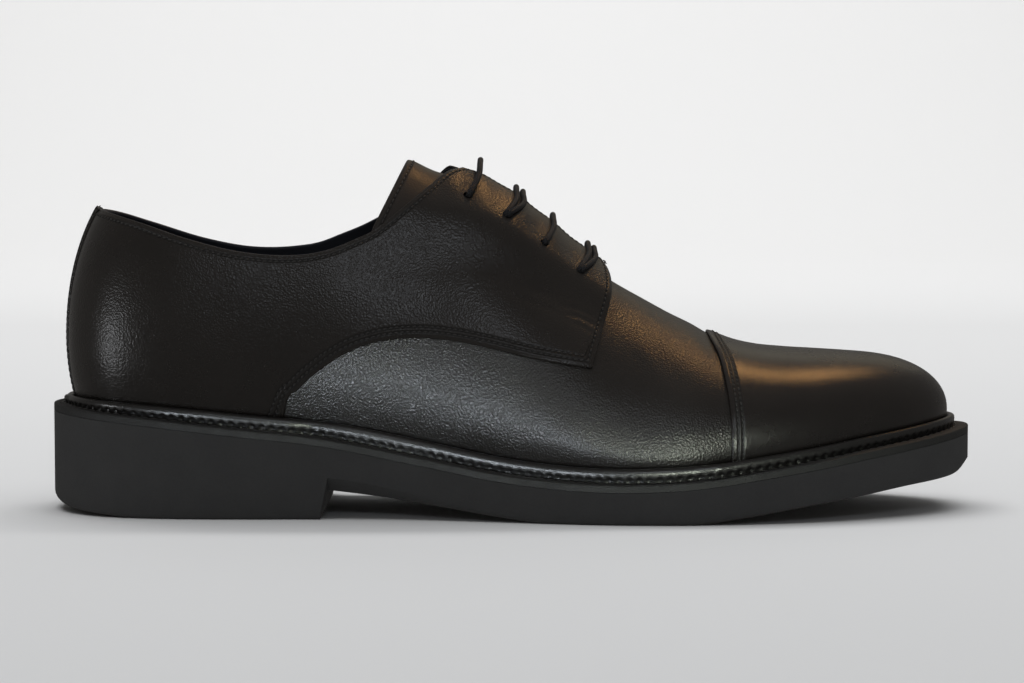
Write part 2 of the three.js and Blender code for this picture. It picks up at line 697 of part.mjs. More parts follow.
const leather = { color: 0x1e1c1a, roughness: .42, metalness: 0 };
const materials = {
  leather: () => new THREE.MeshStandardMaterial(leather),
  rubber: () => new THREE.MeshStandardMaterial({ color: 0x2c2c2c, roughness: .85, metalness: 0 }),
  lining: () => new THREE.MeshStandardMaterial({ color: 0x14161c, roughness: .7, metalness: 0 }),
  cord: () => new THREE.MeshStandardMaterial({ color: 0x121314, roughness: .6, metalness: 0 }),
};

function toMesh(name, solid, material) {
  const { vertProperties, triVerts } = solid.getMesh();
  const geometry = new THREE.BufferGeometry();
  geometry.setAttribute('position', new THREE.BufferAttribute(vertProperties, 3));
  geometry.setIndex(new THREE.BufferAttribute(triVerts, 1));
  geometry.computeVertexNormals();
  const mesh = new THREE.Mesh(geometry, material);
  mesh.name = name;
  return mesh;
}

const shoe = new THREE.Group();
shoe.add(
  toMesh('outsole', makeOutsole(), materials.rubber()),
  toMesh('welt', bandSolid(weltSection), materials.leather()),
  toMesh('insole', makeInsole(), materials.lining()),
  toMesh('upper', makeUpper(), materials.leather()),
  toMesh('toe_cap', makeToeCap(), materials.leather()),
  toMesh('back_strip', makeBackStrip(), materials.leather()),
  toMesh('tongue', makeTongue(), materials.leather()),
  toMesh('lace', makeLace(), materials.cord()),
);

// The origin moves to the floor under the middle of the box.
const box = new THREE.Box3().setFromObject(shoe);
const centre = box.getCenter(new THREE.Vector3());
shoe.position.set(-centre.x, -centre.y, -box.min.z);
shoe.updateMatrixWorld(true);

export default shoe;
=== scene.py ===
# %% [markdown]
# # A cap-toe lace-up shoe
# This notebook dresses the plain solids of a right shoe in leather, rubber and cord. The solids came
# from a CAD program and stay as they are; every visible piece is built again here, finer, on the
# same last (the foot-shaped form that a shoe is made on).
#
# +X points to the toe, +Y to the inner side of the foot and +Z up. Shapes are worked out in
# millimetres and turned into metres when a mesh is made.

# %% Load the solids
import math

import bmesh
import bpy
import numpy as np
from mathutils import Matrix, Vector
from mathutils.kdtree import KDTree


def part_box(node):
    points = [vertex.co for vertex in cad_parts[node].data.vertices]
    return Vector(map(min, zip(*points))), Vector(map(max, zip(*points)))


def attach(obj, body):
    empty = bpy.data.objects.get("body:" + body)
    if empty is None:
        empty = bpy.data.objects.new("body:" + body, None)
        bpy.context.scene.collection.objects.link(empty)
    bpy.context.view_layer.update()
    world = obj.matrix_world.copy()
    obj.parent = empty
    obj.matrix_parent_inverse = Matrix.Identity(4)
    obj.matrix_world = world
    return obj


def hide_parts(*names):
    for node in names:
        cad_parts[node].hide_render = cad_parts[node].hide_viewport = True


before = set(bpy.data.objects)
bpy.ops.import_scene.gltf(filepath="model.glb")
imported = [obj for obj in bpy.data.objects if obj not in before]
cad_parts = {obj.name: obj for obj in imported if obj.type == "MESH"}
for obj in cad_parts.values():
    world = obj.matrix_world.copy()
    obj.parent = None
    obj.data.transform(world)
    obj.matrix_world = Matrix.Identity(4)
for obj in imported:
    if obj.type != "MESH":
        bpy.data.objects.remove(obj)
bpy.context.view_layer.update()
print("solids:", sorted(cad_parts))

# %% [markdown]
# The camera comes first, because every later choice is judged through it. A long lens about a metre
# away keeps the shoe's proportions, as in a catalogue picture. The camera looks slightly down, so
# that the floor and the welt's top edge show.

# %% Camera
LENS = 104.6            # millimetres, on a sensor 36 mm wide
EYE = Vector((0.0, -0.99783, 0.122))
LOOK_DOWN = 3.80        # degrees

camera_data = bpy.data.cameras.new("camera")
camera_data.lens = LENS
camera_data.sensor_width = 36.0
camera_data.clip_start = 0.05
camera_data.clip_end = 20.0
camera = bpy.data.objects.new("camera", camera_data)
camera.location = EYE
camera.rotation_euler = (math.radians(90 - LOOK_DOWN), 0, 0)
bpy.context.scene.collection.objects.link(camera)
bpy.context.scene.camera = camera
print("camera at", tuple(EYE), "looking down by", LOOK_DOWN, "degrees")

# %% [markdown]
# ## The last
# All of a shoe's leather lies on one form, so one function gives every point of it: how far round
# the shoe, and how far up from the welt to the crest. The sizes below are the shoe's own. Tables give
# its outline, the height of the welt and the crest, and how full each section is. A smooth curve
# runs through each table, which keeps highlights even along the leather.

# %% Sizes in millimetres
LENGTH = 308
BALL_WIDTH = 103.6
HEEL_LEVEL = 35.7
INSTEP_HEIGHT = 117
COLLAR_HEIGHT = 100.3
WALL = 1.6
QUARTER = 1.3
CAP = 1.2
STRIP = 1.0
STRIP_HALF = 5
FLAP = 2.3
TONGUE = 1.8
TONGUE_HALF = 21.5
THROAT_HALF = 7.5
LACE = 2
HOLE_PITCH = 11.9
HOLE_COUNT = 4
WELT = 2.4
LIP = 2.6
INSOLE = 4.2
BREAST = 94
BREAST_SLOPE = 2.5
EDGE = 1.3
TIP_EDGE = 3.5
HEEL_ROLL = 2.8
ROLL_LENGTH = 42
WAIST_BEVEL = 4.5
BEVEL_END = -.01
ROUND_ENDS = (.03, .12)
GAP = 0.3
LEDGE = 0.7
HALF_BALL = BALL_WIDTH / 2
SOLID_SECTIONS = 26     # sections on each side of the solids

# %% Tables of the last
# Outsole outline: share of the length, half width, middle line (shares of half the ball width).
OUTLINE = [
    (0, 0, 0), (.02, .375, 0), (.06, .590, 0), (.12, .698, -.006), (.20, .727, -.012),
    (.30, .705, -.035), (.40, .707, -.077), (.50, .805, -.102), (.58, .925, -.090),
    (.66, .997, -.055), (.74, .988, -.023), (.82, .905, .004), (.90, .720, .030),
    (.96, .478, .048), (1, 0, .055),
]
# Top edge of the welt, and the underside of the sole: share of the length, share of HEEL_LEVEL.
WELT_EDGE = [
    (0, 1), (.11, .916), (.20, .832), (.30, .734), (.40, .571), (.50, .420), (.58, .367),
    (.66, .373), (.71, .409), (.76, .471), (.83, .562), (.87, .619), (.92, .681), (1, .782),
]
UNDERSIDE = [
    (.30, .262), (.36, .204), (.42, .130), (.48, .053), (.53, 0), (.69, 0), (.75, .068),
    (.80, .137), (.86, .210), (.92, .288), (.96, .325), (1, .375),
]
# The last beside each point of the outline: inset, level of its widest line, tuck below it,
# exponent of the section above it and height of the welt's lip.
BODY = [
    (0, .131, .44, .058, 2.05, .054), (.06, .093, .42, .058, 1.95, .075),
    (.15, .089, .46, .066, 1.95, .088), (.25, .086, .50, .078, 1.95, .095),
    (.35, .062, .50, .093, 1.88, .110), (.45, .066, .42, .092, 1.90, .105),
    (.55, .071, .28, .079, 1.70, .097), (.62, .082, .18, .062, 1.72, .095),
    (.68, .087, .165, .052, 1.9, .094), (.74, .107, .185, .046, 2.08, .090),
    (.80, .125, .19, .042, 2.2, .087), (.90, .146, .15, .035, 2.25, .085),
    (1, .166, .115, .027, 2.2, .083),
]
# Crest of the last: share of the length, share of INSTEP_HEIGHT.
CREST = [
    (.01, 1.01), (.14, 1.01), (.21, 1.15), (.29, 1.15), (.345, 1.045), (.388, 1),
    (.415, .966), (.445, .944), (.476, .908), (.495, .877), (.533, .801), (.57, .722),
    (.608, .651), (.644, .597), (.671, .558), (.697, .524), (.714, .498), (.736, .473),
    (.763, .455), (.79, .447), (.825, .441), (.864, .434),
]
CREST_OFFSET = .05
CREST_RUN = (-.34, -.08)
FAN_SETTLE = .15
HEEL_FAN = .146
TOE_FAN = .864
WAIST_START = .30
WAIST_END = .66
TUCK_TURN = .16
# Top line: share of the length, share of COLLAR_HEIGHT on the outer and on the inner side.
TOP_LINE = [
    (-.02, 1.008, 1.008), (.050, 1.0, 1.0), (.095, .966, .954), (.156, .906, .892),
    (.211, .865, .861), (.258, .853, .864), (.285, .858, .878), (.309, .875, .906),
    (.333, .905, .936), (.352, .932, .966), (.381, 1.001, 1.012), (.412, 1.080, 1.092),
    (.434, 1.134, 1.152), (.447, 1.142, 1.162),
]
# Front edge of the quarter from the corner up, and its lower seam from the corner back.
QUARTER_FRONT = [
    (.584, .431), (.588, .467), (.594, .517), (.5995, .562), (.6045, .608), (.607, .655),
    (.604, .693), (.596, .725), (.580, .80),
]
QUARTER_SEAM = [
    (.243, -.05), (.250, .15), (.258, .301), (.273, .360), (.298, .420), (.330, .472),
    (.360, .498), (.398, .509), (.435, .503), (.473, .485), (.522, .456), (.584, .431),
]
CAP_SEAM = .727
CAP_SWEEP = 3.5
CAP_CURVE = [(0, 0), (.8, 0), (.95, .4), (1.06, 1), (1.2, 1)]
TONGUE_COVER = 5
TONGUE_END = .388
TONGUE_SLANT = .48
FIRST_HOLE = .5636
HOLE_ASIDE = 19.3
HOLE_SPREAD = 1.0
LACE_LEAN = 2.5
LIFT = LACE + 4 * GAP
LIFT_BLEND = 12
COLLAR_BLEND = (-.28, -.17)
STRIP_ENDS = (.032, .06)
VAMP_STARTS = (.262, .29)
CAP_STARTS = (.69, .72)
print("tables:", len(OUTLINE), "points of the outline,", len(CREST), "of the crest")

# %% [markdown]
# A cubic curve through a table's rows: each row gets a slope from its two neighbours, and a cubic
# joins it to the next. It passes exactly through every row and bends no more than it has to.

# %% Curves through the tables
def through(places, values):
    """A function that gives the cubic curve's value at any array of places."""
    xs = np.asarray(places, float)
    ys = np.asarray(values, float)
    steps = np.diff(xs)
    rates = np.diff(ys) / steps
    slopes = np.empty_like(ys)
    slopes[0] = 1.5 * rates[0] - .5 * rates[min(1, len(rates) - 1)]
    slopes[-1] = 1.5 * rates[-1] - .5 * rates[max(0, len(rates) - 2)]
    slopes[1:-1] = (rates[:-1] * steps[1:] + rates[1:] * steps[:-1]) / (steps[:-1] + steps[1:])

    def curve(x):
        x = np.asarray(x, float)
        i = np.clip(np.searchsorted(xs, x, side="left") - 1, 0, len(steps) - 1)
        u = (x - xs[i]) / steps[i]
        start = (1 + 2 * u) * (1 - u) ** 2 * ys[i] + u * (1 - u) ** 2 * steps[i] * slopes[i]
        return start + u * u * (3 - 2 * u) * ys[i + 1] + u * u * (u - 1) * steps[i] * slopes[i + 1]

    return curve


def smooth(low, high, x):
    u = np.clip((np.asarray(x, float) - low) / (high - low), 0, 1)
    return u * u * (3 - 2 * u)


def mix(a, b, share):
    return a + (b - a) * share


def station(at):
    return np.arccos(np.clip(1 - 2 * np.asarray(at, float), -1, 1)) / np.pi


def lengthwise(s):
    return LENGTH * (1 - np.cos(np.pi * s)) / 2 - LENGTH / 2


def share_of(x):
    return np.clip(np.asarray(x, float) / LENGTH + .5, 0, 1)


def from_share(at):
    return (at - .5) * LENGTH


def table_curve(table, column, by_station=False):
    places = [station(row[0]) if by_station else row[0] for row in table]
    return through(places, [row[column] for row in table])


half_width = table_curve(OUTLINE, 1, True)
middle = table_curve(OUTLINE, 2, True)
inset_of = table_curve(BODY, 1, True)
level_of = table_curve(BODY, 2, True)
tuck_of = table_curve(BODY, 3, True)
power_of = table_curve(BODY, 4, True)
lip_of = table_curve(BODY, 5, True)
welt_edge = table_curve(WELT_EDGE, 1)
underside = table_curve(UNDERSIDE, 1)
crest_curve = table_curve(CREST, 1)
print("half width at the ball:", round(float(half_width(station(.66)) * HALF_BALL), 2), "mm")

# %% [markdown]
# A place on the last is a turn `u` and a rise `t`. The turn runs from 0 at the back of the heel
# forward along the outer side to 1 at the toe, and on to 2 back along the inner side; the rise runs
# from 0 at the welt to 1 on the crest. Above its widest line a section is a rounded arch. Below it,
# the leather tucks in to the welt, as it does where a real upper is pulled under the last.

# %% Points and normals of the last
def wrap(u):
    return np.mod(u, 2.0)


def station_of(u):
    turn = wrap(u)
    return np.where(turn <= 1, turn, 2 - turn)


def edge_point(u):
    turn = wrap(u)
    s = station_of(u)
    side = np.where(turn <= 1, -1.0, 1.0)
    return np.stack([lengthwise(s), HALF_BALL * (middle(s) + side * half_width(s))], -1)


def inset_point(u, distance):
    step = 1e-3
    tangent = edge_point(u + step) - edge_point(u - step)
    tangent = tangent / np.linalg.norm(tangent, axis=-1, keepdims=True)
    inwards = np.stack([-tangent[..., 1], tangent[..., 0]], -1)
    return edge_point(u) + inwards * np.asarray(distance)[..., None]


def welt_level(x):
    return HEEL_LEVEL * welt_edge(share_of(x))


def crest_level(x):
    return INSTEP_HEIGHT * crest_curve(np.asarray(x) / LENGTH + .5)


def crest_side(x):
    return HALF_BALL * CREST_OFFSET * smooth(*CREST_RUN, np.asarray(x) / LENGTH)


def crest_station(s):
    heel_end = float(station(WAIST_START))
    toe_end = float(station(WAIST_END))

    def fan(near, far, end):
        start = lengthwise(near)
        span = far - near
        slope = LENGTH * np.pi / 2 * np.sin(np.pi * near) * span
        u = (s - near) / span
        settle = (end - start) * FAN_SETTLE
        return (start * (1 + 2 * u) * (1 - u) ** 2 + slope * u * (1 - u) ** 2
                + end * u * u * (3 - 2 * u) + settle * u * u * (u - 1))

    toe = fan(toe_end, 1.0, from_share(TOE_FAN))
    heel = fan(heel_end, 0.0, from_share(HEEL_FAN))
    return np.where(s > toe_end, toe, np.where(s < heel_end, heel, lengthwise(s)))


def last(u, t):
    u, t = np.broadcast_arrays(np.asarray(u, float), np.asarray(t, float))
    s = station_of(u)
    inset = inset_of(s) * HALF_BALL
    wide = inset_point(u, inset)
    wide_level = welt_level(wide[..., 0]) + level_of(s) * HALF_BALL
    down = np.clip(1 - t / TUCK_TURN, 0, 1)
    low = inset_point(u, inset + tuck_of(s) * HALF_BALL)
    foot = welt_level(low[..., 0]) + LEDGE + GAP
    below = np.stack([
        mix(wide[..., 0], low[..., 0], down ** 2),
        mix(wide[..., 1], low[..., 1], down ** 2),
        mix(wide_level, foot, down)], -1)
    turn = np.clip((t - TUCK_TURN) / (1 - TUCK_TURN), 0, 1) * np.pi / 2
    power = 2 / power_of(s)
    out = np.where(t >= 1, 0, np.clip(np.cos(turn), 0, 1) ** power)
    up = np.sin(turn) ** power
    x = crest_station(s)
    above = np.stack([
        mix(x, wide[..., 0], out),
        mix(crest_side(x), wide[..., 1], out),
        mix(wide_level, crest_level(x), up)], -1)
    return np.where((t < TUCK_TURN)[..., None], below, above)


def normal(u, t):
    u, t = np.broadcast_arrays(np.asarray(u, float), np.asarray(t, float))
    step = 1e-3
    along = last(u + step, t) - last(u - step, t)
    upward = last(u, np.minimum(t + step, 1)) - last(u, np.maximum(t - step, 0))
    outward = np.cross(along, upward)
    outward /= np.maximum(np.linalg.norm(outward, axis=-1, keepdims=True), 1e-12)
    outward[..., 2] *= smooth(0, TUCK_TURN, t)
    outward /= np.linalg.norm(outward, axis=-1, keepdims=True)
    x = crest_station(station_of(u))
    top = np.stack([crest_level(x - 1) - crest_level(x + 1), np.zeros_like(x), np.full_like(x, 2.0)], -1)
    top /= np.linalg.norm(top, axis=-1, keepdims=True)
    return np.where((t >= 1)[..., None], top, outward)


def skin(u, t, thickness):
    return last(u, t) + normal(u, t) * np.asarray(thickness)[..., None]


def turn_beside(u, distance):
    """The rise of the point that lies this far beside the crest."""
    s = station_of(u)
    reach = np.abs(last(u, np.full_like(s, TUCK_TURN))[..., 1] - crest_side(crest_station(s)))
    part = np.clip(np.asarray(distance) / reach, 0, 1) ** (power_of(s) / 2)
    return mix(TUCK_TURN, 1, np.arccos(part) / (np.pi / 2))


print("crest over the ball:", np.round(last(station(.66), 1.0), 1))

# %% [markdown]
# The facings stand free of the tongue, so that the lace can run under them. `freeing` is 1 beside the
# throat and 0 on the side of the shoe. The solids sit with the middle of their box at the origin,
# and the shift sideways comes from the outsole's own box.

# %% Leather over the last
def freeing(u, t):
    point = last(u, t)
    aside = np.abs(point[..., 1] - crest_side(point[..., 0]))
    start = TONGUE_HALF + 2 * GAP
    near = 1 - smooth(start, start + LIFT_BLEND, aside)
    x = lengthwise(station_of(u))
    return near * smooth(TUCK_TURN, 2 * TUCK_TURN, t) * smooth(*COLLAR_BLEND, x / LENGTH)


solid_turns = np.arange(2 * SOLID_SECTIONS) / SOLID_SECTIONS
solid_edge = edge_point(solid_turns)
low_corner, high_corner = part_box("outsole")
SIDE_SHIFT = ((low_corner.y + high_corner.y) * 500
              - (solid_edge[:, 1].min() + solid_edge[:, 1].max()) / 2)
print("the last lies", round(SIDE_SHIFT, 3), "mm towards the inner side")

# %% [markdown]
# ## Meshes from grids of points
# A sheet of leather is a grid on the last, pushed out to its outer face and in to its inner face. The
# two faces are closed by a rounded rim, which is how a cut and polished edge looks. A Solidify
# modifier could give the thickness, but it leaves a square rim and one even thickness.

# %% Mesh helpers
def placed(points):
    moved = np.array(points, float).reshape(-1, 3)
    moved[:, 1] += SIDE_SHIFT
    return moved / 1000


def finish_mesh(name, points, faces, material, sharp=None):
    """A mesh object in metres, without loose points, smooth apart from edges past `sharp` degrees."""
    mesh = bpy.data.meshes.new(name)
    mesh.from_pydata(placed(points), [], [list(face) for face in faces])
    work = bmesh.new()
    work.from_mesh(mesh)
    bmesh.ops.delete(work, geom=[v for v in work.verts if not v.link_faces], context="VERTS")
    work.to_mesh(mesh)
    work.free()
    mesh.polygons.foreach_set("use_smooth", [True] * len(mesh.polygons))
    if sharp is not None:
        mesh.set_sharp_from_angle(angle=math.radians(sharp))
    mesh.materials.append(material)
    piece = bpy.data.objects.new(name, mesh)
    bpy.context.scene.collection.objects.link(piece)
    return piece


def quads(index, keep=None):
    """Faces of a grid of point numbers, columns first, facing outwards on the last. `keep` says
    which cells of the grid there are."""
    if keep is None:
        keep = np.ones((index.shape[0] - 1, index.shape[1] - 1), bool)
    cells = np.stack([index[:-1, :-1], index[1:, :-1], index[1:, 1:], index[:-1, 1:]], -1)[keep]
    faces = []
    for face in cells.tolist():
        corners = [face[k] for k in range(4) if face[k] != face[k - 1]]
        if len(corners) > 2:
            faces.append(corners)
    return faces


def welded(points):
    """For each point, the number of the first point at the same place."""
    keys = np.round(points.reshape(-1, 3) * 1e3).astype(np.int64)
    _, first, inverse = np.unique(keys, axis=0, return_index=True, return_inverse=True)
    return first[inverse.reshape(-1)].reshape(points.shape[:-1])


def leather_sheet(name, outer, inner, material, values=None, keep=None, rim_rows=3, roundness=.8):
    """A closed sheet between two grids of points, with a rounded rim. `values` is a dictionary of
    arrays over the grid, kept on the points as attributes for the materials."""
    count = outer.shape[0] * outer.shape[1]
    index = welded(outer)
    front = quads(index, keep)
    faces = front + [[corner + count for corner in reversed(face)] for face in front]
    points = [outer.reshape(-1, 3), inner.reshape(-1, 3)]
    edges = {}
    for face in front:
        for a, b in zip(face, face[1:] + face[:1]):
            edges[(a, b)] = True
    rim = [(a, b) for (a, b) in edges if (b, a) not in edges]
    flat_outer = points[0]
    flat_inner = points[1]
    outwards = {}
    for a, b in rim:
        direction = flat_outer[b] - flat_outer[a]
        depth = flat_outer[a] - flat_inner[a]
        push = np.cross(direction, depth)
        push /= max(np.linalg.norm(push), 1e-9)
        for corner in (a, b):
            outwards[corner] = outwards.get(corner, 0) + push
    numbers = {}
    rows = []
    total = 2 * count
    for corner, push in outwards.items():
        push = push / max(np.linalg.norm(push), 1e-9)
        thickness = np.linalg.norm(flat_outer[corner] - flat_inner[corner])
        ladder = [corner]
        for k in range(1, rim_rows + 1):
            angle = math.pi * k / (rim_rows + 1)
            centre = mix(flat_outer[corner], flat_inner[corner], (1 - math.cos(angle)) / 2)
            rows.append(centre + push * math.sin(angle) * thickness / 2 * roundness)
            ladder.append(total)
            total += 1
        ladder.append(corner + count)
        numbers[corner] = ladder
    for a, b in rim:
        left, right = numbers[a], numbers[b]
        for k in range(rim_rows + 1):
            faces.append([right[k], left[k], left[k + 1], right[k + 1]])
    if rows:
        points.append(np.array(rows))
    every = np.concatenate(points)
    piece = finish_mesh_with(name, every, faces, material, values, count)
    return piece


def finish_mesh_with(name, points, faces, material, values, count):
    """As finish_mesh, with point attributes that survive the removal of loose points."""
    mesh = bpy.data.meshes.new(name)
    mesh.from_pydata(placed(points), [], faces)
    for key, grid in (values or {}).items():
        flat = np.asarray(grid, float).reshape(-1)
        whole = np.zeros(len(points))
        whole[:count] = flat
        whole[count:2 * count] = -1.0
        layer = mesh.attributes.new(key, "FLOAT", "POINT")
        layer.data.foreach_set("value", whole.astype(np.float32))
    work = bmesh.new()
    work.from_mesh(mesh)
    bmesh.ops.delete(work, geom=[v for v in work.verts if not v.link_faces], context="VERTS")
    work.to_mesh(mesh)
    work.free()
    mesh.polygons.foreach_set("use_smooth", [True] * len(mesh.polygons))
    mesh.materials.append(material)
    piece = bpy.data.objects.new(name, mesh)
    bpy.context.scene.collection.objects.link(piece)
    return piece


# %% [markdown]
# ## Leather, rubber and cord
# Each finish is a Principled shader whose colour, roughness and bump come from noise on Object
# coordinates, so the grain keeps its real size on every piece. Two effects are shared, and each is a
# node group with named inputs: the fine grain of smooth calf, and the soft cloudy change in
# gloss that hand polish leaves.

# %% Shader groups
def new_group(name, inputs, outputs):
    group = bpy.data.node_groups.new(name, "ShaderNodeTree")
    for label, value in inputs:
        socket = group.interface.new_socket(name=label, in_out="INPUT", socket_type="NodeSocketFloat")
        socket.default_value = value
    for label in outputs:
        group.interface.new_socket(name=label, in_out="OUTPUT", socket_type="NodeSocketFloat")
    start = group.nodes.new("NodeGroupInput")
    end = group.nodes.new("NodeGroupOutput")
    return group, start, end


def math_node(tree, operation, first, second=None):
    node = tree.nodes.new("ShaderNodeMath")
    node.operation = operation
    for socket, value in zip(node.inputs, (first, second)):
        if value is None:
            continue
        if isinstance(value, (int, float)):
            socket.default_value = value
        else:
            tree.links.new(value, socket)
    return node.outputs[0]


def noise(tree, vector, scale, detail=3.0, roughness=.5):
    node = tree.nodes.new("ShaderNodeTexNoise")
    node.inputs["Scale"].default_value = scale
    node.inputs["Detail"].default_value = detail
    node.inputs["Roughness"].default_value = roughness
    tree.links.new(vector, node.inputs["Vector"])
    return node


def bump_node(tree, height, strength, distance):
    """A bump that raises the surface by `height`, which is a socket of the same tree."""
    node = tree.nodes.new("ShaderNodeBump")
    node.inputs["Strength"].default_value = strength
    node.inputs["Distance"].default_value = distance
    tree.links.new(height, node.inputs["Height"])
    return node


def colour_between(tree, factor, first, second):
    """The colour from `first` to `second` that a factor socket picks."""
    node = tree.nodes.new("ShaderNodeMix")
    node.data_type = "RGBA"
    node.inputs["A"].default_value = (*first, 1)
    node.inputs["B"].default_value = (*second, 1)
    tree.links.new(factor, node.inputs["Factor"])
    return node.outputs["Result"]


def ranged(tree, value, low, high, from_low=0.0, from_high=1.0):
    """A socket's value, carried from one range to another."""
    node = tree.nodes.new("ShaderNodeMapRange")
    node.inputs["From Min"].default_value = from_low
    node.inputs["From Max"].default_value = from_high
    node.inputs["To Min"].default_value = low
    node.inputs["To Max"].default_value = high
    tree.links.new(value, node.inputs["Value"])
    return node.outputs["Result"]


calf_grain, start, end = new_group("calf_grain", [("Cell size mm", .55), ("Pore depth", .35)], ["Height"])
place = calf_grain.nodes.new("ShaderNodeTexCoord").outputs["Object"]
cells = calf_grain.nodes.new("ShaderNodeTexVoronoi")
cells.feature = "SMOOTH_F1"
cells.inputs["Smoothness"].default_value = .6
calf_grain.links.new(place, cells.inputs["Vector"])
per_metre = math_node(calf_grain, "DIVIDE", 1000.0, start.outputs["Cell size mm"])
calf_grain.links.new(per_metre, cells.inputs["Scale"])
fine = noise(calf_grain, place, 3200.0, 2.0)
pores = math_node(calf_grain, "MULTIPLY", fine.outputs["Fac"], start.outputs["Pore depth"])
height = math_node(calf_grain, "ADD", cells.outputs["Distance"], pores)
calf_grain.links.new(height, end.inputs["Height"])

polish_cloud, start, end = new_group("polish_cloud", [("Low", .3), ("High", .45)], ["Gloss", "Tint"])
place = polish_cloud.nodes.new("ShaderNodeTexCoord").outputs["Object"]
broad = noise(polish_cloud, place, 32.0, 3.0)
small = noise(polish_cloud, place, 240.0, 3.0)
blend = math_node(polish_cloud, "ADD", math_node(polish_cloud, "MULTIPLY", broad.outputs["Fac"], .7),
                  math_node(polish_cloud, "MULTIPLY", small.outputs["Fac"], .3))
reach = polish_cloud.nodes.new("ShaderNodeMapRange")
reach.inputs["From Min"].default_value = .35
reach.inputs["From Max"].default_value = .65
polish_cloud.links.new(blend, reach.inputs["Value"])
polish_cloud.links.new(start.outputs["Low"], reach.inputs["To Min"])
polish_cloud.links.new(start.outputs["High"], reach.inputs["To Max"])
polish_cloud.links.new(reach.outputs["Result"], end.inputs["Gloss"])
polish_cloud.links.new(broad.outputs["Fac"], end.inputs["Tint"])
print("shader groups:", [group.name for group in bpy.data.node_groups])

# %% [markdown]
# The leathers differ only in colour, gloss and how strong their grain is, so one function makes
# them. `edge` is the distance in millimetres from a piece's cut edge, kept on its points: there the
# leather gets a shallow groove under each row of stitches. In the groove the colour is painted
# darker, as painted shade, and the leather is duller there.

# %% Leather materials
GRAIN_HEIGHT = .00012   # metres, as bump nodes take it
GROOVE_DEPTH = .0003
GROOVE_HALF_WIDTH = .5  # millimetres
# Painted shade: in each groove under the stitches the leather's colour is darkened towards this colour.
GROOVE_SHADE_COLOUR = (.003, .003, .003)
GROOVE_SHADE_STRENGTH = .75
GROOVE_DULLING = .25
SEAM_ROWS = (1.7, 3.4)  # the double rows of stitches, in millimetres from the edge
CAP_SEAM_ROWS = (1.7, 3.2)


def leather_material(name, dark, light, low, high, grain, cell, coat=0.0, grooves=()):
    material = bpy.data.materials.new(name)
    material.use_nodes = True
    tree = material.node_tree
    shader = tree.nodes["Principled BSDF"]
    grain_node = tree.nodes.new("ShaderNodeGroup")
    grain_node.node_tree = calf_grain
    grain_node.inputs["Cell size mm"].default_value = cell
    cloud = tree.nodes.new("ShaderNodeGroup")
    cloud.node_tree = polish_cloud
    cloud.inputs["Low"].default_value = low
    cloud.inputs["High"].default_value = high
    colour = colour_between(tree, cloud.outputs["Tint"], dark, light)
    tree.links.new(colour, shader.inputs["Base Color"])
    tree.links.new(cloud.outputs["Gloss"], shader.inputs["Roughness"])
    bump = bump_node(tree, grain_node.outputs["Height"], grain, GRAIN_HEIGHT)
    if grooves:
        edge = tree.nodes.new("ShaderNodeAttribute")
        edge.attribute_name = "edge"
        total = None
        for where in grooves:
            away = math_node(tree, "SUBTRACT", edge.outputs["Fac"], where)
            near = math_node(tree, "DIVIDE", away, GROOVE_HALF_WIDTH)
            bell = math_node(tree, "POWER", 2.718, math_node(tree, "MULTIPLY",
                             math_node(tree, "MULTIPLY", near, near), -1.0))
            total = bell if total is None else math_node(tree, "ADD", total, bell)
        # Painted shade: the colour is darkened in each groove under the stitches, and the leather is duller
        # there.
        groove_shade = tree.nodes.new("ShaderNodeMix")
        groove_shade.data_type = "RGBA"
        groove_shade.inputs["B"].default_value = (*GROOVE_SHADE_COLOUR, 1)
        tree.links.new(math_node(tree, "MULTIPLY", total, GROOVE_SHADE_STRENGTH), groove_shade.inputs["Factor"])
        tree.links.new(colour, groove_shade.inputs["A"])
        tree.links.new(groove_shade.outputs["Result"], shader.inputs["Base Color"])
        dulled = math_node(tree, "ADD", cloud.outputs["Gloss"],
                           math_node(tree, "MULTIPLY", total, GROOVE_DULLING))
        tree.links.new(dulled, shader.inputs["Roughness"])
        groove = bump_node(tree, total, .8, GROOVE_DEPTH)
        groove.invert = True
        tree.links.new(groove.outputs["Normal"], bump.inputs["Normal"])
    tree.links.new(bump.outputs["Normal"], shader.inputs["Normal"])
    shader.inputs["Coat Weight"].default_value = coat
    shader.inputs["Coat Roughness"].default_value = .25
    shader.inputs["Specular IOR Level"].default_value = .5
    return material


BOX_CALF_DARK = (.0115, .0095, .0082)
BOX_CALF_LIGHT = (.0205, .0168, .0142)
calf = leather_material("box_calf", BOX_CALF_DARK, BOX_CALF_LIGHT, .27, .33, 1.0, .62)
calf_sewn = leather_material("box_calf_sewn", BOX_CALF_DARK, BOX_CALF_LIGHT, .25, .31, .8, .62,
                             grooves=SEAM_ROWS)
calf_cap = leather_material("box_calf_cap", BOX_CALF_DARK, BOX_CALF_LIGHT, .23, .30, .4, .42,
                            grooves=CAP_SEAM_ROWS)
calf_brown = leather_material("tongue_calf", (.011, .0085, .007), (.019, .015, .0125), .40, .50,
                              .4, .7, .05, (1.6,))
lining_leather = leather_material("lining_leather", (.006, .007, .011), (.010, .012, .019), .55, .68,
                                  .5, .8)
welt_leather = leather_material("welt_leather", (.008, .0075, .007), (.014, .0125, .0115), .26, .38,
                                .5, .6, .35)
welt_matte = leather_material("welt_matte", (.012, .0118, .0115), (.018, .0175, .017), .62, .75,
                              .6, .5)
print("leathers made")

# %% [markdown]
# The sole is a light moulded rubber: matte, nearly the same grey all over, with a fine mottled skin.
# The cord is braided and waxed: its own UV map runs round it and along it in millimetres, and two
# crossing sets of waves make the braid. The thread is plain, slightly glossy from its wax.

# %% Rubber, cord and thread
def plain_material(name, colour, roughness):
    material = bpy.data.materials.new(name)
    material.use_nodes = True
    shader = material.node_tree.nodes["Principled BSDF"]
    shader.inputs["Base Color"].default_value = (*colour, 1)
    shader.inputs["Roughness"].default_value = roughness
    return material, material.node_tree, shader


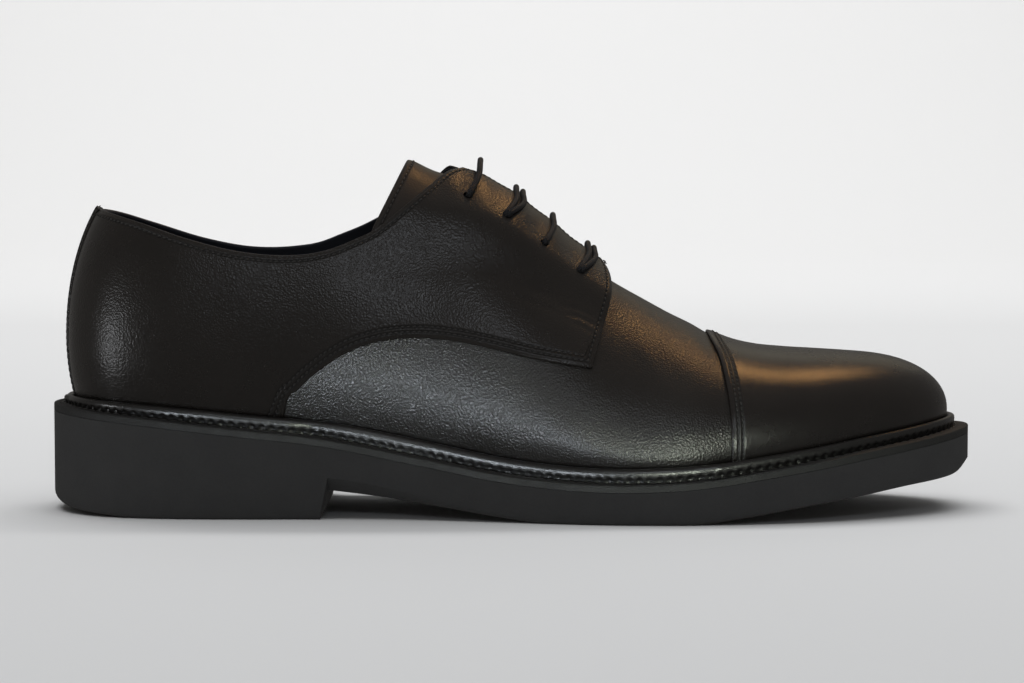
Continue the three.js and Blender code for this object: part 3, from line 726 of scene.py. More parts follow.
rubber, tree, shader = plain_material("sole_rubber", (.03, .03, .03), .85)
place = tree.nodes.new("ShaderNodeTexCoord").outputs["Object"]
mottle = noise(tree, place, 90.0, 5.0, .6)
skin_noise = noise(tree, place, 1500.0, 3.0, .6)
tone = colour_between(tree, mottle.outputs["Fac"], (.0345, .0348, .0354), (.0495, .0495, .0488))
tree.links.new(tone, shader.inputs["Base Color"])
tree.links.new(ranged(tree, skin_noise.outputs["Fac"], .72, .92), shader.inputs["Roughness"])
bump = bump_node(tree, skin_noise.outputs["Fac"], .45, GRAIN_HEIGHT)
tree.links.new(bump.outputs["Normal"], shader.inputs["Normal"])

cord_material, tree, shader = plain_material("waxed_cord", (.010, .0105, .0125), .5)
uv = tree.nodes.new("ShaderNodeUVMap")
uv.uv_map = "UVMap"
split = tree.nodes.new("ShaderNodeSeparateXYZ")
tree.links.new(uv.outputs["UV"], split.inputs["Vector"])
STRANDS = 6
PLAITS_PER_MM = 1.1
strand_waves = []
for side in (1, -1):
    around = math_node(tree, "MULTIPLY", split.outputs["X"], float(STRANDS * side))
    along = math_node(tree, "MULTIPLY", split.outputs["Y"], PLAITS_PER_MM)
    wave = math_node(tree, "SINE", math_node(tree, "MULTIPLY", math_node(tree, "ADD", around, along),
                                             2 * math.pi))
    strand_waves.append(wave)
braid = math_node(tree, "MAXIMUM", strand_waves[0], strand_waves[1])
bump = bump_node(tree, braid, .7, .00018)
tree.links.new(bump.outputs["Normal"], shader.inputs["Normal"])
tree.links.new(ranged(tree, braid, .62, .42, from_low=-1.0), shader.inputs["Roughness"])

thread, tree, shader = plain_material("thread", (.030, .028, .026), .40)
place = tree.nodes.new("ShaderNodeTexCoord").outputs["Object"]
twist = noise(tree, place, 2600.0, 2.0)
bump = bump_node(tree, twist.outputs["Fac"], .4, .0001)
tree.links.new(bump.outputs["Normal"], shader.inputs["Normal"])
print("rubber, cord and thread made")

# %% [markdown]
# ## The quarters
# The quarters are the two side pieces of a Derby shoe. They lap over the vamp along a curved seam,
# meet under the back strip, and carry the lace holes on two facings that stand free in front. One
# grid covers both: its columns run from the inner facing back round the heel to the outer facing, and
# its rows from the lower edge to the top line. So edges, stitch rows and grain all follow the leather.

# %% Edges of the quarters
def crossing(test, low, high, steps=36):
    """Where `test` turns positive between two arrays, found by halving."""
    low, high = np.array(low, float), np.array(high, float)
    for _ in range(steps):
        half = (low + high) / 2
        past = test(half) > 0
        high = np.where(past, half, high)
        low = np.where(past, low, half)
    return (low + high) / 2


top_outer = through([from_share(row[0]) for row in TOP_LINE], [row[1] * COLLAR_HEIGHT for row in TOP_LINE])
top_inner = through([from_share(row[0]) for row in TOP_LINE], [row[2] * COLLAR_HEIGHT for row in TOP_LINE])
seam_line = through([from_share(row[0]) for row in QUARTER_SEAM],
                    [row[1] * INSTEP_HEIGHT for row in QUARTER_SEAM])
front_line = through([row[1] * INSTEP_HEIGHT for row in QUARTER_FRONT],
                     [from_share(row[0]) for row in QUARTER_FRONT])
COLLAR_TIP = from_share(TOP_LINE[-1][0])
THROAT_BACK = COLLAR_TIP - 25   # the throat lies in front of this, the heel's back behind it
COLLAR_STEEPNESS = 60
CORNER_BLEND = .008


def quarter_outer(u, t):
    return mix(QUARTER, LIFT + FLAP, freeing(u, t))


def top_rise(u):
    """Rise of the top line, or of the facing's edge where that is lower."""
    inner_side = wrap(u) > 1

    def over_top(t):
        point = skin(u, t, quarter_outer(u, t))
        x = point[..., 0]
        line = np.where(inner_side, top_inner(np.minimum(x, COLLAR_TIP)),
                        top_outer(np.minimum(x, COLLAR_TIP)))
        line = line + np.maximum(x - COLLAR_TIP, 0) * COLLAR_STEEPNESS
        return point[..., 2] - line

    def into_throat(t):
        point = skin(u, t, quarter_outer(u, t))
        inside = THROAT_HALF - np.abs(point[..., 1] - crest_side(point[..., 0]))
        return np.where(point[..., 0] > THROAT_BACK, inside, -1.0)

    start = np.full_like(u, TUCK_TURN)
    end = np.full_like(u, .9999)
    by_top = crossing(over_top, start, end)
    by_throat = crossing(into_throat, start, end)
    lower = np.minimum(by_top, by_throat)
    gap = np.abs(by_top - by_throat)
    return lower - CORNER_BLEND * np.exp(-gap / CORNER_BLEND) * .5


def bottom_rise(u):
    def over_seam(t):
        point = skin(u, t, quarter_outer(u, t))
        return point[..., 2] - seam_line(np.maximum(point[..., 0], from_share(QUARTER_SEAM[0][0])))

    return crossing(over_seam, np.zeros_like(u), np.full_like(u, .95))


def locate(side, x, z):
    """Turn and rise of the quarter's points that lie at (x, z) in the side view."""
    s = station(share_of(x)) + 0 * z
    for _ in range(8):
        u = s * side
        t = crossing(lambda rise: skin(u, rise, quarter_outer(u, rise))[..., 2] - z,
                     np.full_like(s, .02), np.full_like(s, .9999))
        point = skin(u, t, quarter_outer(u, t))
        s = s + (x - point[..., 0]) / (LENGTH * np.pi / 2 * np.sin(np.pi * s))
    return s, t


def front_edge(side, rows):
    """Stations and rises up the quarter's front edge, evenly spaced in rise."""
    heights = np.linspace(QUARTER_FRONT[0][1], QUARTER_FRONT[-1][1], 80) * INSTEP_HEIGHT
    s, t = locate(side, front_line(heights), heights)
    point = skin(s * side, t, quarter_outer(s * side, t))
    aside = np.abs(point[:, 1] - crest_side(point[:, 0]))
    inside = aside >= THROAT_HALF
    end = int(np.argmin(inside)) if not inside.all() else len(inside)
    share = (aside[end - 1] - THROAT_HALF) / (aside[end - 1] - aside[end])
    last_s = mix(s[end - 1], s[end], share)
    last_t = mix(t[end - 1], t[end], share)
    s, t = np.append(s[:end], last_s), np.append(t[:end], last_t)
    rises = mix(t[0], t[-1], rows)
    return np.interp(rises, t, s), rises


ROW_COUNT = 96
COLUMN_COUNT = 210
FRONT_BLEND = .80
even = np.linspace(0, 1, ROW_COUNT)
quarter_rows = mix(even, even * even * (3 - 2 * even), .7)
even = np.linspace(0, 1, COLUMN_COUNT)
quarter_columns = mix(even, 1 - (1 - even) ** 2, .5)


def quarter_half(side):
    """Turns and rises of one side's grid, from the heel to the facing. side is 1 outer, -1 inner."""
    front_s, front_t = front_edge(side, quarter_rows)
    shift = smooth(FRONT_BLEND, 1, quarter_columns)[:, None] * (front_s - front_s[0])[None, :]
    s = front_s[0] * quarter_columns[:, None] + shift
    u = s * side
    low = bottom_rise(u[:, 0])
    high = top_rise(u[:, -1])
    low[-1], high[-1] = front_t[0], front_t[-1]
    t = mix(low[:, None], high[:, None], quarter_rows[None, :])
    return u, t


outer_u, outer_t = quarter_half(1)
inner_u, inner_t = quarter_half(-1)
quarter_u = np.concatenate([inner_u[:0:-1], outer_u])
quarter_t = np.concatenate([inner_t[:0:-1], outer_t])
print("quarter grid:", quarter_u.shape)

# %% [markdown]
# Near its cut edge the leather is skived, so it falls away a little before the rim. The same distance
# from the edge later places the stitches and the grooves that they pull into the leather.

# %% The quarters' leather
SKIVE = .35
SKIVE_WIDTH = .9
FAR_AWAY = 99.0


def distance_to(grid, border, reach):
    """Distance of each grid point from a border, for the points within `reach` rows of it."""
    places = np.linspace(0, len(border) - 1, 8 * len(border))
    line = np.stack([np.interp(places, np.arange(len(border)), border[:, axis]) for axis in range(3)], -1)
    finder = KDTree(len(line))
    for number, point in enumerate(line):
        finder.insert(point, number)
    finder.balance()
    near = grid[reach]
    result = np.full(grid.shape[:2], FAR_AWAY)
    result[reach] = np.reshape([finder.find(point)[2] for point in near.reshape(-1, 3)], near.shape[:2])
    return result


def skived(distance):
    return SKIVE * np.exp(-(np.minimum(distance, 20) / SKIVE_WIDTH) ** 2)


rough = skin(quarter_u, quarter_t, quarter_outer(quarter_u, quarter_t))
PAST_THE_WELT = 10      # millimetres by which the seam's line is carried on below the welt


def carried_on(foot, above):
    """Points that carry a line straight on from its foot, away from the point above it."""
    direction = (foot - above) / np.linalg.norm(foot - above)
    return [foot + direction * away for away in np.linspace(0, PAST_THE_WELT, 40)]


on_the_welt = np.nonzero(quarter_t[:, 0] <= .004)[0]
inner_foot, outer_foot = on_the_welt[0] - 1, on_the_welt[-1] + 1
seam_edge = np.array([*rough[:inner_foot, 0], *carried_on(rough[inner_foot, 0], rough[inner_foot - 4, 0]),
                      *carried_on(rough[outer_foot, 0], rough[outer_foot + 4, 0]),
                      *rough[outer_foot + 1:, 0]])
to_seam = distance_to(rough, seam_edge, np.s_[:, :48])
to_top = distance_to(rough, rough[:, -1], np.s_[:, -22:])
to_outer_front = distance_to(rough, rough[-1], np.s_[-26:, :])
to_inner_front = distance_to(rough, rough[0], np.s_[:26, :])
to_front = np.minimum(to_outer_front, to_inner_front)
SINGLE_ROW = 2.6        # grooves past this distance belong to the double row only
single = np.minimum(to_top, to_front)
single = np.where(single > SINGLE_ROW, FAR_AWAY, single)
quarter_edge_distance = np.minimum(to_seam, single)
nearest_edge = np.minimum(np.minimum(to_seam, to_top), to_front)

# %% [markdown]
# Leather creases where it bends on the foot. This shoe is hardly worn, so there are only a few fine
# folds near the lower front corner of the facing, each a soft trough with a low ridge beside it,
# drawn between two places in the side view.

# %% Creases
CREASES = [
    # start x and z, end x and z, depth, half width (all in millimetres)
    (15.0, 69.8, 27.6, 65.2, .16, .62),
    (16.5, 67.2, 28.0, 62.4, .18, .66),
    (18.5, 64.4, 27.0, 59.8, .15, .62),
    (-3.0, 73.6, 16.5, 66.4, .12, .85),
    (2.0, 76.8, 14.0, 72.0, .08, .80),
]
VAMP_CREASES = [
    (34.0, 60.0, 47.0, 40.0, .07, 2.2),
    (43.5, 60.0, 56.0, 40.0, .06, 2.4),
]


def creased(points, creases, side=-1):
    """How far a set of creases moves each point along its normal."""
    moved = np.zeros(points.shape[:-1])
    for x0, z0, x1, z1, depth, width in creases:
        along = np.array([x1 - x0, z1 - z0])
        length = np.linalg.norm(along)
        along = along / length
        away = np.stack([points[..., 0] - x0, points[..., 2] - z0], -1)
        run = away @ along / length
        bend = .6 * np.sin(np.clip(run, 0, 1) * np.pi)
        beside = away @ np.array([-along[1], along[0]]) - bend
        fade = smooth(-.05, .3, run) * (1 - smooth(.7, 1.05, run))
        trough = -np.exp(-(beside / width) ** 2)
        ridge = .55 * np.exp(-((beside - 1.9 * width) / width) ** 2)
        moved += depth * fade * (trough + ridge) * (points[..., 1] * side > 0)
    return moved


def quarter_inner(u, t):
    return mix(.15, LIFT + .95, freeing(u, t))


FACING_WAVE = .35       # how far the facing rises between two lace holes
hole_places = [station(share_of(from_share(FIRST_HOLE) - i * HOLE_PITCH)) for i in range(HOLE_COUNT)]


def facing_wave(points):
    """The facings lie lower where the lace pulls them down, and bulge between the holes."""
    first = from_share(FIRST_HOLE)
    phase = (points[..., 0] - first) / HOLE_PITCH * 2 * np.pi
    aside = np.abs(points[..., 1] - crest_side(points[..., 0]))
    near = 1 - smooth(HOLE_ASIDE, HOLE_ASIDE + 9, aside)
    inside = smooth(first - (HOLE_COUNT - .4) * HOLE_PITCH, first - (HOLE_COUNT - 1) * HOLE_PITCH,
                    points[..., 0]) * (1 - smooth(first, first + 8, points[..., 0]))
    return -FACING_WAVE * (1 + np.cos(phase)) / 2 * near * inside


moves = creased(rough, CREASES) + facing_wave(rough)
outer_face = skin(quarter_u, quarter_t,
                  quarter_outer(quarter_u, quarter_t) - skived(nearest_edge) + moves)
inner_face = skin(quarter_u, quarter_t, quarter_inner(quarter_u, quarter_t) + moves)
quarters = leather_sheet("quarters", outer_face, inner_face, calf_sewn,
                         {"edge": quarter_edge_distance})
print("quarters:", len(quarters.data.polygons), "faces")

# %% [markdown]
# The lace holes are punched with a Boolean modifier: a hole is a clean cut through both faces, which
# a grid can't have without bending its rows. The result is turned into a plain mesh at once.

# %% Lace holes
HOLE = 2.9


def hole_turn(u, i):
    return turn_beside(u, HOLE_ASIDE + (HOLE_COUNT - 1 - i) * HOLE_SPREAD)


def hole_frame(i, side):
    """Centre of a hole halfway through the facing, and the direction of its axis."""
    u = np.array(hole_places[i] * side)
    t = hole_turn(u, i)
    return skin(u, t, LIFT + FLAP / 2), normal(u, t)


punch = bmesh.new()
for i in range(HOLE_COUNT):
    for side in (1, -1):
        centre, axis = hole_frame(i, side)
        turn = Vector(axis).to_track_quat("Z", "Y").to_matrix().to_4x4()
        place = Matrix.Translation(Vector(placed(centre)[0])) @ turn
        bmesh.ops.create_cone(punch, cap_ends=True, segments=28, radius1=HOLE / 2000,
                              radius2=HOLE / 2000, depth=.008, matrix=place)
punch_mesh = bpy.data.meshes.new("punch")
punch.to_mesh(punch_mesh)
punch.free()
punch_piece = bpy.data.objects.new("punch", punch_mesh)
bpy.context.scene.collection.objects.link(punch_piece)


def evaluated(piece):
    """The piece with its modifiers as a plain mesh, and no modifiers left on it."""
    bpy.context.view_layer.update()
    graph = bpy.context.evaluated_depsgraph_get()
    mesh = bpy.data.meshes.new_from_object(piece.evaluated_get(graph))
    piece.modifiers.clear()
    old = piece.data
    piece.data = mesh
    mesh.name = piece.name
    bpy.data.meshes.remove(old)
    return piece


cut = quarters.modifiers.new("lace holes", "BOOLEAN")
cut.operation = "DIFFERENCE"
cut.solver = "EXACT"
cut.object = punch_piece
evaluated(quarters)
bpy.data.objects.remove(punch_piece)
bpy.data.meshes.remove(punch_mesh)
quarters.data.set_sharp_from_angle(angle=math.radians(50))
print("quarters with holes:", len(quarters.data.polygons), "faces")

# %% [markdown]
# ## The vamp and the toe cap
# The vamp covers the forefoot, and runs on under the quarters. Its grid goes over the crest from welt
# to welt. The tongue's gap in it is left out face by face, because its front is straight across and
# follows a column, and its sides follow rows. The toe cap lies on the vamp, with a raised edge.

# %% The vamp
tongue_front = from_share(QUARTER_FRONT[5][0]) - TONGUE_COVER
slot_front = tongue_front + .15
VAMP_BACK = -86.0
WING_SIDE = 36.0
WING_OVERLAP = .09      # the wings run up under the quarters by this part of a section
VAMP_THIN = .5

slot_s = float(station(share_of(slot_front)))
back_s = float(station(share_of(VAMP_BACK)))
wing_s = np.linspace(back_s, slot_s, 120)
front_s = mix(slot_s, 1.0, np.linspace(0, 1, 190)[1:])
vamp_s = np.concatenate([wing_s, front_s])
LOW_ROWS, HIGH_ROWS = 64, 40


def vamp_rows(side):
    """Rises of every column, from the welt up to the crest, with a row along the tongue's gap."""
    x = lengthwise(np.minimum(vamp_s, slot_s))
    aside = mix(WING_SIDE, TONGUE_HALF + .15, smooth(0, slot_front, x))
    wing = np.minimum(vamp_s, slot_s) * side
    under_quarter = bottom_rise(wing) + WING_OVERLAP * (1 - smooth(0, slot_front, x))
    split = np.maximum(turn_beside(wing, aside), under_quarter)
    lower = split[:, None] * np.linspace(0, 1, LOW_ROWS)[None, :]
    upper = mix(split[:, None], 1.0, np.linspace(0, 1, HIGH_ROWS)[None, 1:])
    return np.concatenate([lower, upper], 1)


outer_rows, inner_rows = vamp_rows(1), vamp_rows(-1)
vamp_t = np.concatenate([outer_rows, inner_rows[:, -2::-1]], 1)
vamp_side = np.concatenate([np.ones(outer_rows.shape[1]), -np.ones(inner_rows.shape[1] - 1)])
vamp_u = vamp_s[:, None] * vamp_side[None, :]
vamp_points = skin(vamp_u, vamp_t, np.zeros_like(vamp_t))
vamp_moves = creased(vamp_points, VAMP_CREASES)
vamp_outer = skin(vamp_u, vamp_t, vamp_moves)
vamp_depth = mix(VAMP_THIN, WALL, smooth(slot_front, slot_front + 6, lengthwise(vamp_s)))[:, None]
vamp_inner = skin(vamp_u, vamp_t, vamp_moves - vamp_depth)
vamp_keep = np.ones((vamp_u.shape[0] - 1, vamp_u.shape[1] - 1), bool)
vamp_keep[:len(wing_s) - 1, LOW_ROWS - 1:-(LOW_ROWS - 1)] = False
vamp = leather_sheet("vamp", vamp_outer, vamp_inner, calf, keep=vamp_keep)
print("vamp:", len(vamp.data.polygons), "faces")

# %% The toe cap
CAP_ROWS = 80
CAP_COLUMNS = 130
cap_curve = through([row[0] for row in CAP_CURVE], [row[1] for row in CAP_CURVE])
seam_x = from_share(CAP_SEAM)
seam_top = float(crest_level(seam_x))

half_rows = np.linspace(0, 1, CAP_ROWS)
cap_t = np.concatenate([half_rows, half_rows[-2::-1]])
cap_side = np.concatenate([np.ones(CAP_ROWS), -np.ones(CAP_ROWS - 1)])


def past_cap_seam(s):
    point = skin(s * cap_side, cap_t, np.full_like(s, GAP + CAP))
    return point[:, 0] - (seam_x - CAP_SWEEP * cap_curve(np.minimum(point[:, 2] / seam_top, 1.2)))


cap_start = crossing(past_cap_seam, np.full_like(cap_t, .55), np.full_like(cap_t, .85))
even = np.linspace(0, 1, CAP_COLUMNS)
cap_columns = mix(even, even * even, .55)
cap_s = mix(cap_start[None, :], 1.0, cap_columns[:, None])
cap_u = cap_s * cap_side[None, :]
cap_t = np.broadcast_to(cap_t, cap_u.shape)
rough_cap = skin(cap_u, cap_t, np.full_like(cap_t, GAP + CAP))
to_cap_edge = distance_to(rough_cap, rough_cap[0], np.s_[:30, :])
cap_outer = skin(cap_u, cap_t, GAP + CAP - skived(to_cap_edge))
cap_inner = skin(cap_u, cap_t, np.full_like(cap_t, GAP * .5))
toe_cap = leather_sheet("toe_cap_leather", cap_outer, cap_inner, calf_cap, {"edge": to_cap_edge})
print("toe cap:", len(toe_cap.data.polygons), "faces")

# %% [markdown]
# ## Back strip, tongue and lining
# The back strip covers the seam where the quarters meet. The tongue is a square-ended plate under the
# facings, sewn to the vamp at the throat. The lining is the dark inside face that shows through the
# collar: it follows the quarters a little inside them, and ends in a rounded edge at the top line.

# %% The back strip
strip_share = np.linspace(-1, 1, 25)
strip_base = QUARTER + GAP
strip_rows = np.linspace(0, 1, 90)
top_at_back = float(top_rise(np.array([1e-4]))[0])
strip_t0 = strip_rows * top_at_back


def past_strip(u):
    point = skin(u, strip_t0, np.full_like(u, strip_base + STRIP))
    return np.abs(point[:, 1]) - STRIP_HALF


strip_u0 = crossing(past_strip, np.zeros_like(strip_t0), np.full_like(strip_t0, .12))
strip_u = strip_share[:, None] * strip_u0[None, :]
strip_top = top_rise(np.abs(strip_u[:, -1]) + 1e-4)
strip_t = strip_rows[None, :] * strip_top[:, None]
rough_strip = skin(strip_u, strip_t, np.full_like(strip_t, strip_base + STRIP))
to_strip_edge = np.minimum(distance_to(rough_strip, rough_strip[0], np.s_[:, :]),
                           distance_to(rough_strip, rough_strip[-1], np.s_[:, :]))


def thinned(distance):
    """The strip is pared to a thin edge, so that it lies close on the quarters."""
    return .8 * np.exp(-(np.minimum(distance, 20) / 2.0) ** 2)


strip_outer = skin(strip_u, strip_t, strip_base + STRIP - thinned(to_strip_edge))
strip_inner = skin(strip_u, strip_t, np.full_like(strip_t, QUARTER - .2))
back_strip = leather_sheet("back_strip_leather", strip_outer, strip_inner, calf_sewn,
                           {"edge": np.where(to_strip_edge > SINGLE_ROW, FAR_AWAY, to_strip_edge)})
print("back strip:", len(back_strip.data.polygons), "faces")

# %% The tongue
tongue_across = np.linspace(-1, 1, 81)
tongue_aside = np.abs(tongue_across) * TONGUE_HALF
TONGUE_WINGS = .14      # the tongue's end reaches down the sides by this part of a section
tongue_sign = np.where(tongue_across <= 0, 1.0, -1.0)
end_x = from_share(TONGUE_END)


def tongue_place(x):
    s = station(share_of(x))
    u = s * np.broadcast_to(tongue_sign, s.shape)
    wings = TONGUE_WINGS * np.abs(tongue_across) ** 3 * (1 - smooth(-32, -8, x))
    return u, turn_beside(u, np.broadcast_to(tongue_aside, s.shape)) - wings


def past_tongue_end(x):
    u, t = tongue_place(x)
    point = last(u, t)
    return x - end_x - TONGUE_SLANT * (point[:, 2] - INSTEP_HEIGHT)


tongue_end = crossing(past_tongue_end, np.full(81, -62.0), np.full(81, -20.0))
tongue_columns = np.linspace(0, 1, 110)
tongue_x = mix(tongue_end[None, :], tongue_front, tongue_columns[:, None])
tongue_u, tongue_t = tongue_place(tongue_x)
rough_tongue = skin(tongue_u, tongue_t, np.zeros_like(tongue_t))
to_tongue_edge = np.minimum.reduce([
    distance_to(rough_tongue, rough_tongue[0], np.s_[:20, :]),
    distance_to(rough_tongue, rough_tongue[:, 0], np.s_[:, :16]),
    distance_to(rough_tongue, rough_tongue[:, -1], np.s_[:, -16:])])
sunk = (WALL + GAP) * (1 - np.minimum(freeing(tongue_u, tongue_t) * 2, 1)) * (tongue_columns < .5)[:, None]
tongue_outer = skin(tongue_u, tongue_t, -skived(to_tongue_edge) - sunk)
tongue_inner = skin(tongue_u, tongue_t, -TONGUE - sunk)
tongue = leather_sheet("tongue_leather", tongue_outer, tongue_inner, calf_brown,
                       {"edge": to_tongue_edge})
print("tongue:", len(tongue.data.polygons), "faces")

# %% The lining
LINING_FRONT = -5.0
lining_keep = lengthwise(np.abs(quarter_u)).max(1) < LINING_FRONT
lining_u = quarter_u[lining_keep]
lining_top = quarter_t[lining_keep][:, -1:]
lining_share = np.concatenate([np.linspace(0, .9, 60), np.linspace(.9, 1, 16)[1:]])
lining_u = np.broadcast_to(lining_u[:, -1:], (lining_u.shape[0], len(lining_share)))
lining_t = lining_top * lining_share[None, :]
above_seam = smooth(.01, .06, lining_t - quarter_t[lining_keep][:, :1])
lift = freeing(lining_u, lining_t) * above_seam
near_top = smooth(.93, .995, lining_share)[None, :]
lining_out = mix(mix(-.6, .05, near_top), LIFT + .85, lift)
lining_in = mix(-WALL, LIFT, lift)
lining = leather_sheet("lining", skin(lining_u, lining_t, lining_out),
                       skin(lining_u, lining_t, lining_in), lining_leather)
print("lining:", len(lining.data.polygons), "faces")

# %% [markdown]
# ## The bottom
# The welt is one closed section swept round the outline: a flat strip out to the sole's edge, and a
# rounded lip that hugs the upper. Its size changes along the shoe, so the section is worked out at
# every point of the way. The outsole and the insole are lofts: a closed section across the shoe at
# each place along it, drawn together at the heel and at the toe.

# %% Sections round and across the shoe
def layers(s):
    rear = QUARTER + (STRIP + GAP) * (1 - smooth(*STRIP_ENDS, s))
    vamp_start = smooth(station(VAMP_STARTS[0]), station(VAMP_STARTS[1]), s)
    cap_start_share = smooth(station(CAP_STARTS[0]), station(CAP_STARTS[1]), s)
    return mix(rear, 0, vamp_start) + (CAP + GAP) * cap_start_share


def wall_inset(s, height):
    level = level_of(s) * HALF_BALL
    foot = LEDGE + GAP
    down = np.clip(1 - (height - foot) / (level - foot), 0, 1)
    return (inset_of(s) + tuck_of(s) * down ** 2) * HALF_BALL


def raised(u, inset, height):
    point = inset_point(u, inset)
    return np.stack([point[..., 0], point[..., 1], welt_level(point[..., 0]) + height], -1)


def closed_mesh(name, grid, material, sharp, round_the_shoe):
    """A closed surface from a grid whose rows close on themselves, and whose columns either close
    round the shoe or come together at both ends."""
    grid = np.concatenate([grid, grid[:, :1]], 1)
    if round_the_shoe:
        grid = np.concatenate([grid, grid[:1]], 0)
    faces = quads(welded(grid))
    piece = finish_mesh(name, grid, faces, material)
    work = bmesh.new()
    work.from_mesh(piece.data)
    bmesh.ops.recalc_face_normals(work, faces=work.faces)
    if work.calc_volume(signed=True) < 0:
        bmesh.ops.reverse_faces(work, faces=work.faces)
    work.to_mesh(piece.data)
    work.free()
    piece.data.set_sharp_from_angle(angle=math.radians(sharp))
    return piece


print("the welt's lip stands", round(float(lip_of(station(.5)) * HALF_BALL), 2), "mm high at the waist")

# %% The welt
WELT_TURNS = 1500
WELT_PITCH = 3.3
NOTCH = .8              # how far the lip's lower edge rises between two stitches
welt_u = np.arange(WELT_TURNS) / WELT_TURNS * 2
welt_s = station_of(welt_u)
lip = lip_of(welt_s) * HALF_BALL
over = layers(welt_s) + GAP
foot = wall_inset(welt_s, LEDGE + GAP) - over
shoulder = wall_inset(welt_s, lip * .8) - over
outside = shoulder - LIP
behind_foot = wall_inset(welt_s, LEDGE + GAP) + WALL
stitch_line = raised(welt_u, outside - .9, np.full_like(welt_u, LEDGE))
steps = np.linalg.norm(np.diff(stitch_line, axis=0, append=stitch_line[:1]), axis=1)
run = np.concatenate([[0], np.cumsum(steps)])
stitch_count = int(round(run[-1] / WELT_PITCH))
phase = run[:-1] / run[-1] * stitch_count * 2 * np.pi
notch = 1 - np.abs(np.sin(phase / 2)) ** .6
section = [
    (0 * lip, 0 * lip - WELT), (behind_foot, 0 * lip - WELT), (behind_foot, 0 * lip + LEDGE),
    (foot + .1, 0 * lip + LEDGE), (foot, 0 * lip + LEDGE + .2), (shoulder, lip * .55),
    (shoulder - .05, lip * .8), (shoulder - LIP * .14, lip * .95), (shoulder - LIP * .36, lip),
    (shoulder - LIP * .62, lip * .985), (shoulder - LIP * .84, lip * .92), (outside + .08, lip * .81),
    (outside + 0 * lip, lip * .62), (outside + .05 + notch * .10, lip * .44),
    (outside + .16 + notch * .34, lip * .32 + NOTCH * .5 * notch),
    (outside + .34 + notch * .45, lip * .20 + NOTCH * notch), (outside + .5, 0 * lip + LEDGE * .3),
    (outside - 1.1, 0 * lip + LEDGE * .5), (outside - 1.75, 0 * lip + LEDGE * .6),
    (outside * .5, 0 * lip + LEDGE * .38), (0 * lip + .75, 0 * lip + .10), (0 * lip + .38, 0 * lip + 0),
    (0 * lip + .12, 0 * lip - .14), (0 * lip, 0 * lip - .45), (0 * lip, 0 * lip - WELT * .55),
]
welt_grid = np.stack([raised(welt_u, inset, height) for inset, height in section], 1)
welt = closed_mesh("welt_leather", welt_grid, welt_leather, 50, True)
welt.data.materials.append(welt_matte)
for face in welt.data.polygons:
    height = face.center.z * 1000 - float(welt_level(face.center.x * 1000))
    face.material_index = 1 if height < LEDGE * .62 else 0
print("welt:", len(welt.data.polygons), "faces,", stitch_count, "stitches to come")

# %% The insole
insole_s = np.concatenate([[0], np.linspace(0, 1, 181)[1:-1] , [1]])
SOCK_SOFTNESS = 1.2


def loft_across(s, side_rows, across_count):
    """Sections for a loft: rows down both sides, joined across the top and across the bottom."""
    outer_side = np.stack([row(s) for row in side_rows], 1)
    inner_side = np.stack([row(-s) for row in side_rows], 1)
    share = np.linspace(0, 1, across_count + 2)[1:-1][None, :, None]
    bottom = mix(outer_side[:, -1:], inner_side[:, -1:], share)
    top = mix(inner_side[:, :1], outer_side[:, :1], share)
    return np.concatenate([outer_side, bottom, inner_side[:, ::-1], top], 1)


def insole_row(extra, height):
    def row(u):
        s = station_of(u)
        return raised(u, wall_inset(s, LEDGE + GAP) + WALL + GAP + extra, np.full_like(s, height))
    return row


insole_top = INSOLE - WELT
insole_rows = [insole_row(2.2, insole_top), insole_row(SOCK_SOFTNESS, insole_top - .1),
               insole_row(.35, insole_top - .45), insole_row(0, insole_top - 1.1), insole_row(0, -WELT)]
insole = closed_mesh("insole_sock", loft_across(insole_s, insole_rows, 16), lining_leather, 60, False)
print("insole:", len(insole.data.polygons), "faces")

# %% The outsole
def edge_size(s):
    ends = 1 - smooth(*ROUND_ENDS, np.minimum(s, 1 - s))
    return mix(EDGE, TIP_EDGE, ends)


def waist_bevel(s):
    x = lengthwise(s)
    breast = BREAST - LENGTH / 2
    return np.where(x < breast, edge_size(s), mix(edge_size(s), WAIST_BEVEL,
                    1 - smooth(breast, BEVEL_END * LENGTH, x)))


def sole_level(x):
    return HEEL_LEVEL * np.maximum(0, underside(np.maximum(share_of(x), UNDERSIDE[0][0])))


def heel_level(x):
    start = ROLL_LENGTH - LENGTH / 2
    return HEEL_ROLL * np.maximum(0, (start - x) / ROLL_LENGTH) ** 2


breast_x = BREAST - LENGTH / 2
heel_s = station(share_of(np.array([breast_x - BREAST_SLOPE, breast_x])))
heel_part = np.linspace(0, heel_s[0], 84)
sole_part = np.linspace(heel_s[1], 1, 170)
outsole_s = np.concatenate([heel_part, sole_part])
under_heel = np.concatenate([np.ones(84), np.zeros(170)])
SOLE_TOP = -WELT - .12


def outsole_row(kind, share):
    """A row down the side: part of the side wall, or of the rounded lower edge."""
    def row(u):
        s = station_of(u)
        size = np.where(under_heel > 0, edge_size(s), waist_bevel(s))
        if kind == "side":
            inset, drop = 0 * size, size
        else:
            angle = share * np.pi / 2
            chamfered = np.where(under_heel > 0, 0, smooth(EDGE, WAIST_BEVEL, size))
            arc_in, arc_up = 1 - np.cos(angle), 1 - np.sin(angle)
            inset = size * mix(arc_in, share, chamfered)
            drop = size * mix(arc_up, 1 - share, chamfered)
        point = inset_point(u, inset)
        x = point[:, 0]
        level = np.where(under_heel > 0, heel_level(x), sole_level(x)) + drop
        if kind == "side":
            level = mix(welt_level(x) + SOLE_TOP, level, share)
        return np.stack([point[:, 0], point[:, 1], level], -1)
    return row


